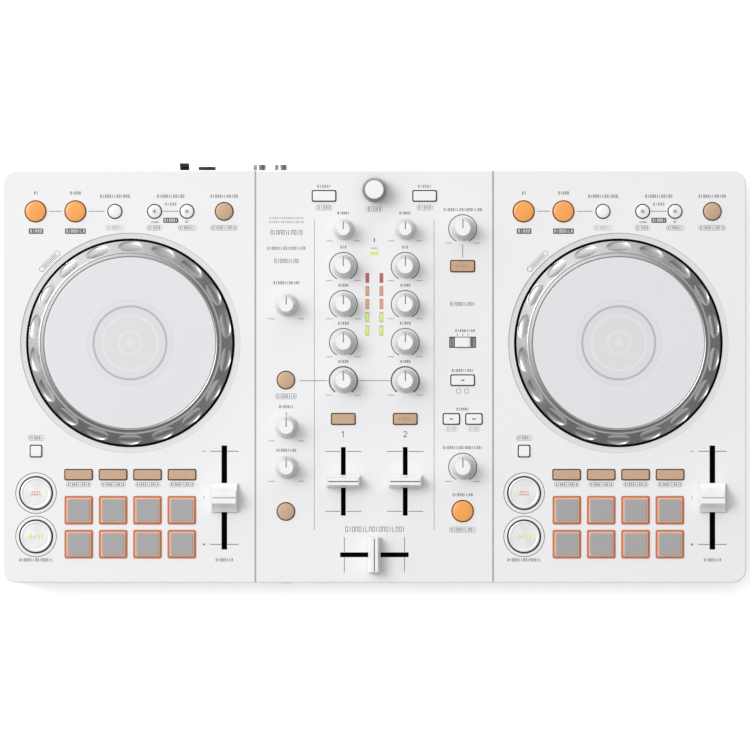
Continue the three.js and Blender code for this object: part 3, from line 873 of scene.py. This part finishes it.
# Captions in the mixer: the node they belong to, their rise over its middle, width, height and ink.
MIXER_CAPTIONS = [
    ("load_button_left", 6.2, 9.3, 1.9, "ink_grey"),
    ("load_button_right", 6.2, 9.3, 1.9, "ink_grey"),
    ("mic_level_knob", 56.2, 22, 1.3, "ink_pale"),
    ("mic_level_knob", 53.6, 23, 1.3, "ink_pale"),
    ("mic_level_knob", 46.9, 21, 2.9, "ink_text"),
    ("mic_level_knob", 36.6, 25, 2.0, "ink_grey"),
    ("mic_level_knob", 28.4, 16, 2.7, "ink_text"),
    ("mic_level_knob", 14.2, 17, 1.9, "ink_text"),
    ("headphone_mix_knob", 13, 9.8, 1.9, "ink_text"),
    ("headphone_level_knob", 10.9, 13, 1.9, "ink_text"),
    ("master_level_knob", 12.3, 25, 1.9, "ink_text"),
    ("master_cue_button", -24.5, 16.5, 2.4, "ink_text"),
    ("effect_select_button", 6.3, 14.5, 1.9, "ink_text"),
    ("beat_buttons", 6.4, 8.4, 1.8, "ink_text"),
    ("effect_depth_knob", 12.6, 26, 1.9, "ink_text"),
    ("effect_on_button", 10.6, 13.4, 1.9, "ink_text"),
]
MIXER_BOXES = [("load_button_left", 7.5, 10.4), ("load_button_right", 7.5, 10.4), ("browse_knob", 12.3, 10.4),
               ("smart_filter_button", 10.5, 14), ("effect_on_button", 12, 17.4)]


def print_channel(sheet, channel):
    x, y = middle(f"trim_knob_{channel}").xy
    marks(sheet, x, y + 10.6, 8, 1.8)
    scale_ends(sheet, x, y, 9.0, 7.4)
    for knob, wide in (("high", 4.2), ("mid", 6.6), ("low", 7.4), ("filter", 6.8)):
        x, y = middle(f"{knob}_knob_{channel}").xy
        marks(sheet, x, y + 12.4, wide, 1.8)
        stroke, reach = (0.9, 144) if knob == "filter" else (0.6, 153)
        printed_ring(sheet, x, y, stroke, reach)
        scale_ends(sheet, x, y)
    x, y = middle(f"channel_cue_{channel}").xy
    numeral(sheet, channel, x, y - 9.8)
    x, y = middle(f"channel_fader_{channel}").xy
    for end in (-19.4, 19.4):
        for side in SIDES:
            line(sheet, x + side * 6.9, y + end, 9.6, 0.45)


def print_mixer():
    """Everything that is printed between the two decks."""
    sheet = Piece("panel_print_mixer")
    case_y = CASE_MID.y
    for node, rise, wide, tall, look in MIXER_CAPTIONS:
        x, y = middle(node).xy
        marks(sheet, x, y + rise, wide, tall, look)
    for node, drop, wide in MIXER_BOXES:
        x, y = middle(node).xy
        frame_box(sheet, x, y - drop, wide, 3.6)
    for channel in (1, 2):
        print_channel(sheet, channel)
    for x in (-38.9, 38.7):
        line(sheet, x, case_y + 1.3, 0.45, 201.4, "ink_pale")
    x, y = middle("crossfader").xy
    for end in (-19.5, 19.5):
        for side in SIDES:
            line(sheet, x + end, y + side * 6.6, 0.45, 9.6)
    left, right = middle("filter_knob_1"), middle("filter_knob_2")
    button_x = middle("smart_filter_button").x
    line(sheet, (button_x + 9 + left.x - 10.3) / 2, left.y, left.x - 19.3 - button_x, 0.4)
    line(sheet, (left.x + right.x) / 2, left.y, right.x - left.x - 19.6, 0.4)
    for node in ("mic_level_knob", "headphone_mix_knob", "headphone_level_knob"):
        scale_ends(sheet, *middle(node).xy, 9.6, 9.1)
    x, y = middle("headphone_mix_knob").xy
    line(sheet, x, y + 8.6, 0.5, 1.8)
    for node in ("master_level_knob", "effect_depth_knob"):
        printed_ring(sheet, *middle(node).xy)
        scale_ends(sheet, *middle(node).xy)
    x, y = middle("master_level_knob").xy
    line(sheet, x, y - 14.3, 0.42, 8.6)
    x, y = middle("effect_channel_switch").xy
    marks(sheet, x + 1.5, y + 7.5, 13, 1.8)
    for step in (-1, 0, 1):
        line(sheet, x + step * SWITCH_TRAVEL, y + 4.9, 0.5, 1.2)
    x, y = middle("effect_select_button").xy
    for side in SIDES:
        sheet.add(arc(1.5, 0.3, *PRINT, x + side * 2.6, y - 7.0, segments=24), "ink_grey")
    x, y = middle("beat_buttons").xy
    for side in SIDES:
        frame_box(sheet, x + side * BEAT_STEP, y - 6.5, 7.6, 3.2, "ink_pale")
    marks(sheet, 0.5, case_y - 98.9, 39, 3.4)
    trim_y = middle("trim_knob_1").y
    marks(sheet, 0, trim_y - 12.2, 4.6, 1.0, "ink_grey")
    line(sheet, 0, trim_y - 7.0, 0.7, 2.6, "ink_dark")
    sheet.finish("black_case")


# ---------------------------------------------------------------- jog wheels
JOG_R = 66.0
SHOULDER_R = 59.3
PLATE_R = 55.4
SCOOPS = 18
SCOOP_DEPTH = 1.6
SCOOP_HALF = (7.7, 3.15)  # half a scoop's size, along the rim and across it
CONE_STEPS = 22
JOG_STEPS = 540


def jog_ring(side):
    """The wheel's metallic rim, with a scoop for the fingers every twenty degrees."""
    jog = DECKS[side]
    node = f"jog_ring_{side}"
    low = corners(node)[0].z
    foot, shoulder, crown, seat, web = (PANEL + rise for rise in (0.6, 5.4, 7.2, 4.4, 0.5))
    slope = (shoulder - foot) / (JOG_R - SHOULDER_R)
    shares = [step / CONE_STEPS for step in range(CONE_STEPS + 1)]
    cone = [(JOG_R - (JOG_R - SHOULDER_R) * share, foot + (shoulder - foot) * share) for share in shares]
    profile = [(4.5, web), (61, web), (61, low), (JOG_R - 0.4, low), (JOG_R, low + 0.4), *cone,
               (SHOULDER_R - 0.1, shoulder + 0.5), (SHOULDER_R - 0.4, shoulder + 0.65),
               (SHOULDER_R - 0.9, shoulder + 0.65), (SHOULDER_R - 1.1, shoulder + 0.3),
               (PLATE_R + 0.95, crown - 0.3), (PLATE_R + 0.8, crown), (PLATE_R + 0.5, crown - 0.1),
               (PLATE_R + 0.5, seat), (4.5, seat), (4.5, web)]
    part = turned(profile, segments=JOG_STEPS)
    scoop_r = (JOG_R + SHOULDER_R) / 2
    step = math.tau / SCOOPS
    for vert in part.verts:
        radius = vert.co.xy.length
        on_cone = abs(vert.co.z - foot - (JOG_R - radius) * slope) < 0.02
        if not on_cone or not SHOULDER_R + 0.15 < radius < JOG_R - 0.15:
            continue
        angle = math.atan2(vert.co.x, vert.co.y)
        across = ((angle + step / 2) % step - step / 2) * radius
        reach = (across / SCOOP_HALF[0]) ** 2 + ((radius - scoop_r) / SCOOP_HALF[1]) ** 2
        if reach < 1:
            vert.co.z -= SCOOP_DEPTH * (1 - reach) ** 0.7
    look = f"jog_metal_{side}"
    FINISHES[look] = jog_metal(look, jog)
    ring = Piece(f"jog_wheel_ring_{side}", f"jog_{side}").add(moved(part, *jog.xy), look)
    ring.finish("jog_metal", node, sharp=40)


def jog_plate(side):
    jog = DECKS[side]
    node = f"jog_plate_{side}"
    low, high = corners(node)
    face = high.z
    plate = Piece(f"jog_wheel_plate_{side}", f"jog_{side}")
    profile = [(0, low.z), (4, low.z, 0.3), (4, face - 3.1), (PLATE_R, face - 3.1), (PLATE_R, face, 0.4),
               (0, face)]
    plate.add(turned(profile, *jog.xy, 180), "plate_satin")
    plate.add(disc(23, face - 0.03, face + 0.01, *jog.xy, 96), "plate_centre")
    plate.add(disc(2.6, face - 0.03, face + 0.02, *jog.xy, 32), "plate_light")
    for radius, stroke, look, lift in ((27.2, 1.8, "plate_halo", 0.01), (24.7, 1.4, "plate_halo", 0.02),
                                       (23.5, 1.2, "ink_ring", 0.02), (17.7, 1.6, "plate_light", 0.02),
                                       (7.3, 1.4, "plate_light", 0.02), (4.4, 0.5, "plate_halo", 0.02)):
        plate.add(arc(radius, stroke, face - 0.03, face + lift, *jog.xy, segments=96), look)
    plate.finish("jog_plate", node)


# ---------------------------------------------------------------- knobs
def knob(node, scale=1.0):
    """A flared knob with a flat top and a pointer line that runs over its front edge."""
    x, y = middle(node).xy
    shaft_low = corners(node)[0].z
    foot_r, neck_r, top_r = 7.55 * scale, 6.1 * scale, 4.95 * scale
    made = Piece(node + "_cap", node)
    profile = [(0, shaft_low), (3, shaft_low, 0.3), (3, KNOB_FOOT), (foot_r, KNOB_FOOT, 0.2),
               (foot_r, KNOB_FOOT + 1.3, 0.35), (neck_r, KNOB_FOOT + 4.2, 1.8),
               (top_r + 0.45, KNOB_TOP - 3, 2), (top_r, KNOB_TOP, 0.4), (0, KNOB_TOP)]
    # the side takes a darker white than the top: painted shade
    made.add(turned(profile, x, y, 72), "knob_side_painted_shade")
    made.add(disc(top_r - 0.25, KNOB_TOP - 0.3, KNOB_TOP + 0.01, x, y, 72), "cap_white")
    pointer = [(0, KNOB_TOP - 0.3), (0, KNOB_TOP + 0.03), (top_r + 0.05, KNOB_TOP + 0.03, 0.3),
               (neck_r + 0.2, KNOB_FOOT + 4.4), (neck_r - 0.4, KNOB_FOOT + 4.4),
               (top_r - 0.6, KNOB_TOP - 0.5)]
    made.add(moved(ridge(pointer, 0.6), x, y), "ink_dark")
    made.finish("white_cap", node)


BROWSE_RIBS = 36


def browse_knob():
    node = "browse_knob"
    low, high = corners(node)
    x, y = middle(node).xy
    radius = extent(node).x / 2
    made = Piece("browse_knob_cap", node)
    foot = KNOB_FOOT + 1
    side = [(0, low.z), (3, low.z, 0.3), (3, foot), (radius, foot, 0.3), (radius, foot + 5.5, 0.6),
            (6.35, high.z - 0.3, 0.2), (6.05, high.z - 0.3), (6.05, high.z - 1.2), (0, high.z - 1.2)]
    made.add(turned(side, x, y, 64), "browse_grey")
    face = [(0, high.z - 1.15), (6.0, high.z - 1.15), (6.0, high.z - 0.05, 0.4), (0, high.z)]
    made.add(turned(face, x, y, 64), "cap_white")
    for index in range(BROWSE_RIBS):
        rib = slab(0.35, 0.5, foot + 0.6, foot + 5.0, radius - 0.1, 0, corner=0.12, steps=2)
        made.add(tilted(rib, 360 * index / BROWSE_RIBS, x, y), "browse_grey")
    made.finish("white_cap", node)


# ---------------------------------------------------------------- sliders
def slider(node, along, wide, long, grip, slot):
    """A slider's cap, wide across its slot, with a raised grip and a centre line, and its dark track."""
    x, y = middle(node).xy
    stem_low, top = corners(node)[0].z, corners(node)[1].z
    foot, half, ledge = KNOB_FOOT, long / 2, grip / 2
    bend = ledge + 0.4 * (half - ledge)
    waist = foot + 0.3 * (top - foot)
    sweep = 0.9 * (half - bend)
    outline = [(-half, foot, 0.2), (half, foot, 0.2), (half, foot + 1.3, 0.3), (bend, waist, sweep),
               (ledge, top, 0.25), (0.36, top, 0.05), (0.3, top - 0.25), (-0.3, top - 0.25),
               (-0.36, top, 0.05), (-ledge, top, 0.25), (-bend, waist, sweep), (-half, foot + 1.3, 0.3)]
    across = "x" if along == "y" else "y"
    axis = 0 if across == "x" else 1
    body = ridge(outline, wide + 1.2, across)
    for vert in body.verts:
        vert.co[axis] *= 1 - 1.7 / wide * (vert.co.z - foot) / (top - foot)
    ends = [e for e in body.edges if e.calc_face_angle(0) > math.radians(70)
            and abs((e.verts[0].co - e.verts[1].co)[axis]) < 0.3]
    bevelled(body, ends, 0.2, 2)
    made = Piece(node + "_cap", node)
    made.add(moved(body, x, y), "cap_white")
    inlay = [(-0.28, top - 0.3), (0.28, top - 0.3), (0.28, top - 0.14), (-0.28, top - 0.14)]
    made.add(moved(ridge(inlay, wide - 1.2, across), x, y), "ink_line" if wide < 18 else "ink_dark")

    def run(narrow, length, low, high):
        size = (narrow, length) if along == "y" else (length, narrow)
        return slab(*size, low, high, x, y)

    made.add(run(2, 5, stem_low, foot + 0.5), "nickel")
    made.finish("white_cap", node)
    track = Piece(node + "_track")
    body = run(slot[0] + 3, slot[1] + 3, UNDER - 6.5, UNDER - 0.05)
    track.add(carved(body, [run(slot[0] - 0.4, slot[1] - 0.3, UNDER - 5.5, PANEL)]), "dark_parts_and_slot_shade")
    # a black liner on the slot's walls: painted shade
    liner = run(slot[0] - 0.06, slot[1] - 0.06, UNDER - 1, PANEL - 0.1)
    track.add(carved(liner, [run(slot[0] - 0.4, slot[1] - 0.3, UNDER - 2, PANEL + 1)]), "dark_parts_and_slot_shade")
    track.finish("black_case")


def effect_switch():
    node = "effect_channel_switch"
    x, y = middle(node).xy
    stem_low = corners(node)[0].z
    cap_low = PANEL - 0.6
    made = Piece("effect_switch_cap", node)
    made.add(slab(8.4, 6.2, cap_low, PANEL + 1.5, x, y, corner=0.5, edge=0.35), "cap_white")
    for side in SIDES:
        made.add(slab(1.0, 6.2, cap_low, PANEL + 0.9, x + side * 4.55, y, edge=0.2), "cap_white")
    made.add(slab(4, 3, stem_low, cap_low, x, y), "dark_parts_and_gap_shade")
    made.finish("white_cap", node)
    well = Piece("effect_switch_well")
    bed = slab(20, 9.4, UNDER - 3.2, UNDER - 0.05, x, y)
    cavity = slab(17.1, 6.9, UNDER - 2.4, PANEL, x, y)
    stem_slot = slab(4.6 + 2 * SWITCH_TRAVEL, 3.6, UNDER - 4, UNDER - 2, x, y)
    well.add(carved(bed, [cavity, stem_slot]), "dark_parts_and_gap_shade")
    # a dark liner on the window's walls: painted shade
    liner = slab(17.25, 7.15, UNDER - 0.5, PANEL - 0.08, x, y)
    well.add(carved(liner, [slab(17.0, 6.4, *THROUGH, x, y)]), "dark_parts_and_gap_shade")
    for rib_x in (x + side * (5.95 + step * 0.95) for side in SIDES for step in range(3)):
        well.add(slab(0.6, 6.2, UNDER - 2.3, cap_low - 0.25, rib_x, y), "ink_pale")
    well.finish("black_case")


# ---------------------------------------------------------------- pads, cue and play
def pads(side):
    node = f"pad_mat_{side}"
    low = corners(node)[0].z
    web = slab(*extent(node).xy, low, low + 1.2, *middle(node).xy, corner=2)
    Piece(f"pad_web_{side}", node).add(web, "rubber_black").finish("pad_rubber", node)
    for index, (x, y) in enumerate(PADS):
        spot = on_deck(side, x, y)
        pad = Piece(f"pad_{side}_{index + 1}", node)
        pad.add(slab(PAD, PAD, low + 1.25, PANEL + 0.45, *spot, corner=1.0, edge=0.3), "pad_rim")
        band = PAD - 1.9
        pad.add(slab(band, band, PANEL, PANEL + 1.45, *spot, corner=0.8, edge=0.15, taper=0.955), "pad_band")
        pad.add(slab(14.2, 14.2, PANEL, PANEL + 2, *spot, corner=0.8, edge=0.4), "pad_grey")
        pad.finish("pad_rubber")


def transport(side, stem, key, symbol):
    """The large cue or play button, its symbol and a dark ring of painted shade in the gap round it."""
    name = f"{stem}_button_{side}"
    size = key[2]
    x, y = on_deck(side, *key[:2])
    # the cap's finish carries painted highlight and shade fans in its colour
    look = f"spun_{name}"
    FINISHES[look] = spun_cap_painted_sheen(look, Vector((x, y, 0)))
    top = PANEL + CAP_RISE
    made = Piece(name + "_cap", name)
    made.add(turned([(0, FLANGE_LOW), (size, FLANGE_LOW), (size, top, 0.5), (size - 1.4, top, 0.2),
                     (size - 1.6, top - 0.12), (0, top - 0.12)], x, y, 96), look)
    made.add(disc(size + 1.1, FLANGE_LOW, FLANGE_LOW + 1.2, x, y), "dark_parts_and_gap_shade")
    made.add(slab(3, 3, FLANGE_LOW - 7.5, FLANGE_LOW, x, y), "dark_parts_and_gap_shade")
    symbol(made, x, y, top - 0.11)
    made.finish("white_cap", name)
    # a dark ring filling the gap round the cap: painted shade
    gap_ring_shade = arc(size + CUE_GAP / 2 + 0.04, CUE_GAP - 0.08, UNDER + 0.1, PANEL + 0.1, x, y, segments=96)
    Piece(f"{stem}_bezel_{side}").add(gap_ring_shade, "dark_parts_and_gap_shade").finish("black_case")


def cue_symbol(made, x, y, face):
    """A short lit bar with a row of ticks over it."""
    low, high = face - 0.1, face + 0.02
    made.add(slab(6.4, 0.7, low, high, x, y - 1.0), "lamp_amber")
    for index in range(4):
        made.add(slab(0.8, 1.3, low, high, x - 2.4 + index * 1.6, y + 0.7), "cap_tan")


def play_symbol(made, x, y, face):
    """A play triangle and a pause pair."""
    low, high = face - 0.1, face + 0.02
    made.add(tilted(disc(1.9, low, high, segments=3), -90, x - 3.0, y), "lamp_green")
    for step in (2.1, 4.0):
        made.add(slab(1.1, 3.2, low, high, x + step, y), "lamp_green")
    made.add(moved(rotated(slab(0.3, 2.8, low, high), -0.45), x - 0.2, y), "ink_pale")


# ---------------------------------------------------------------- meters and connectors
def level_meters():
    rows = [(63.9, "lamp_red"), (55.4, "lamp_amber"), (47.0, "lamp_amber"), (38.5, "lamp_green"),
            (29.8, "lamp_green")]
    for name, x in (("left", -4.55), ("right", 4.55)):
        meter = Piece(f"level_meter_{name}")
        for y, look in rows:
            spot = (x, CASE_MID.y + y)
            # a warm dark frame round each lamp: painted shade in its gap
            meter.add(slab(2.4, 6.3, PANEL - 0.6, PANEL + 0.03, *spot, corner=0.4, steps=3), "warm_gap_shade")
            meter.add(slab(2.05, 5.7, PANEL - 0.6, PANEL + 0.08, *spot, corner=0.3, edge=0.05, steps=3), look)
        meter.finish("black_case")
    lens = slab(5.4, 2.3, PANEL - 0.6, PANEL + 0.07, 0, CASE_MID.y + 79.8, corner=0.5, edge=0.05, steps=3)
    Piece("master_lamp").add(lens, "lamp_green").finish("black_case")


def rear_jacks():
    node = "rear_jack_board"
    low = corners(node)[0]
    board = slab(76, 26, low.z, low.z + BOARD_T, -90, REAR_INNER - 15)
    Piece("rear_board").add(board, "circuit_green").finish("circuit_board", node)
    block = (low.z + BOARD_T, PORT_Z + 7)
    mic = Piece("microphone_jack")
    tube = [(3.25, -8), (3.25, 4.55, 0.25), (4.4, 4.55, 0.2), (4.4, -8), (3.25, -8)]
    mic.add(lying(turned(tube, segments=48), MIC_X, REAR - 2.6, PORT_Z), "case_black")
    nut = carved(rotated(disc(5.6, -1.05, 1.05, segments=6), math.pi / 6), [disc(4.42, -3, 3)])
    mic.add(lying(eased_edges(nut, 0.2), MIC_X, REAR + 1.35, PORT_Z), "case_black")
    mic.add(slab(15, 14, *block, MIC_X, REAR_INNER - 15.3, corner=0.6, edge=0.4), "case_black")
    mic.finish("jack_plastic")
    twin = slab(30, 15.6, *block, sum(RCA_XS) / 2, REAR_INNER - 8.2, corner=0.6, edge=0.4)
    Piece("rca_block").add(twin, "case_black").finish("jack_plastic")
    # the right insert's red lamp finish makes it glow, though it is no lamp: painted glow
    for name, x, look in (("left", RCA_XS[0], "cap_white"), ("right", RCA_XS[1], "lamp_red")):
        jack = Piece(f"rca_jack_{name}")
        shell = [(3.55, -1.5), (3.55, 6.3), (4.15, 6.3, 0.25), (4.15, 3.1), (4.25, 2.9), (4.25, -1.5),
                 (3.55, -1.5)]
        jack.add(lying(turned(shell, segments=48), x, REAR_INNER, PORT_Z), "dark_nickel")
        insert = [(1.6, -1.5), (1.6, 5.8, 0.3), (3.5, 5.8, 0.2), (3.5, -1.5), (1.6, -1.5)]
        jack.add(lying(turned(insert, segments=48), x, REAR_INNER, PORT_Z), look)
        jack.finish("jack_plastic")


def board_and_ports():
    node = "main_board"
    low, _ = corners(node)
    top = low.z + BOARD_T
    board = Piece("circuit_board_main")
    board.add(slab(440, 205, low.z, top, 0, CASE_MID.y - 18, corner=2), "circuit_green")
    board.add(slab(40, 30, low.z, top, sum(USB_XS) / 2, REAR_INNER - 20, corner=1), "circuit_green")
    board.finish("circuit_board", node)
    phones = Piece("headphone_jack")
    block = slab(12, 13.6, top, PORT_Z + 3.2, HEADPHONE_X, FRONT + SKIN + 7.3, corner=0.5, edge=0.3)
    phones.add(block, "case_black")
    barrel = [(1.85, -0.45), (3.2, -0.45, 0.25), (3.2, 5.4), (1.85, 5.4), (1.85, -0.45)]
    phones.add(lying(turned(barrel, segments=40), HEADPHONE_X, FRONT, PORT_Z), "case_black")
    phones.add(lying(disc(1.9, 3.6, 4.0, segments=24), HEADPHONE_X, FRONT, PORT_Z), "nickel")
    phones.finish("jack_plastic")
    for index, x in enumerate(USB_XS):
        port = Piece(f"usb_port_{index + 1}")
        shell = slab(8.5, 3.0, -4.2, 4.2, corner=1.45, steps=6)
        mouth = slab(7.9, 2.4, -3.0, 6, corner=1.15, steps=6)
        port.add(lying(carved(shell, [mouth]), x, REAR_INNER - 2.4, PORT_Z), "nickel")
        port.add(lying(slab(6.2, 0.7, -3.2, 3.2), x, REAR_INNER - 2.6, PORT_Z), "case_black")
        port.finish("jack_plastic")
    plate = carved(slab(14, 8, -0.4, 0.4, corner=0.5), [slab(6.4, 2.8, -2, 2, corner=0.5)])
    lying(plate, LOCK_X, REAR_INNER - 0.5, PORT_Z)
    Piece("lock_plate").add(plate, "nickel").finish("jack_plastic")


# ---------------------------------------------------------------- assembly
def deck(side):
    jog_ring(side)
    jog_plate(side)
    pads(side)
    transport(side, "cue", CUE_KEY, cue_symbol)
    transport(side, "play", PLAY_KEY, play_symbol)
    keys_and_gap_shades(side, deck_keys(side))
    slider(f"tempo_slider_{side}", "y", 15.9, 18.8, 7.4, TEMPO_SLOT)
    print_deck(side)


def mixer():
    keys_and_gap_shades("mixer", MIXER_KEYS)
    for channel in (1, 2):
        knob(f"trim_knob_{channel}", 0.86)
        for part in ("high", "mid", "low", "filter"):
            knob(f"{part}_knob_{channel}")
        slider(f"channel_fader_{channel}", "y", 20.4, 8.2, 4.6, FADER_SLOT)
    slider("crossfader", "x", 22, 8.0, 4.6, FADER_SLOT)
    for node in ("mic_level_knob", "headphone_mix_knob", "headphone_level_knob"):
        knob(node, 0.95)
    for node in ("master_level_knob", "effect_depth_knob"):
        knob(node)
    browse_knob()
    effect_switch()
    level_meters()
    print_mixer()


def build():
    top_case()
    jog_wells()
    bottom_case()
    feet_and_screws()
    board_and_ports()
    rear_jacks()
    for side in DECKS:
        deck(side)
    mixer()


build()


# ---------------------------------------------------------------- studio
SKY_BASE = 0.14
SKY_SIDE = 1.32
SKY_BRIGHT = (-0.67, 0.74, 0.0)  # toward the rear left
SKY_TOP = 0.61
KEY_PLACE = Vector((-2.0, 1.05, 3.3))
KEY_AIM = Vector((0, 0, 0.04))
FIELD = 485.9  # the width that the camera sees at the panel


def key_light():
    data = bpy.data.lights.new("key", "AREA")
    data.shape, data.size, data.energy = "SQUARE", 1.7, 68
    light = linked("key", data)
    light.location = KEY_PLACE
    light.rotation_euler = (KEY_AIM - KEY_PLACE).to_track_quat("-Z", "Y").to_euler()


def sky():
    """Soft light: bright overhead and toward the rear left, dim toward the front right."""
    world = bpy.data.worlds.new("studio")
    bpy.context.scene.world = world
    world.use_nodes = True
    graph = Graph(world.node_tree)

    def toward(direction):
        sockets = {0: graph.node("TexCoord"), 1: direction}
        share = graph.node("VectorMath", {"operation": "DOT_PRODUCT"}, sockets, output=1)
        return share.math("MAXIMUM", 0.0)

    strength = SKY_BASE + SKY_SIDE * toward(SKY_BRIGHT) + SKY_TOP * toward((0, 0, 1)).math("POWER", 2.0)
    background = world.node_tree.nodes["Background"]
    background.inputs["Color"].default_value = (1, 1, 1, 1)
    graph.feed(background.inputs["Strength"], strength)


def studio():
    sheet = bmesh.new()
    bmesh.ops.create_grid(sheet, x_segments=1, y_segments=1, size=6)
    floor = linked("floor", as_mesh(sheet, "floor"))
    finish = Finish("floor_white", roughness=0.8, emission_strength=0.5)
    finish.set("Base Color", (0.9, 0.9, 0.9, 1))
    finish.set("Emission Color", (1, 1, 1, 1))
    floor.data.materials.append(finish.material)
    sky()
    key_light()
    bpy.context.scene.view_settings.view_transform = "Standard"


def camera():
    """A long lens straight above the panel."""
    data = bpy.data.cameras.new("camera")
    data.sensor_width, data.lens = 36, 400
    away = FIELD * data.lens / data.sensor_width
    made = linked("camera", data)
    made.location = Vector((0.4, CASE_MID.y + 1.0, PANEL + away)) * MM
    bpy.context.scene.camera = made


studio()
camera()
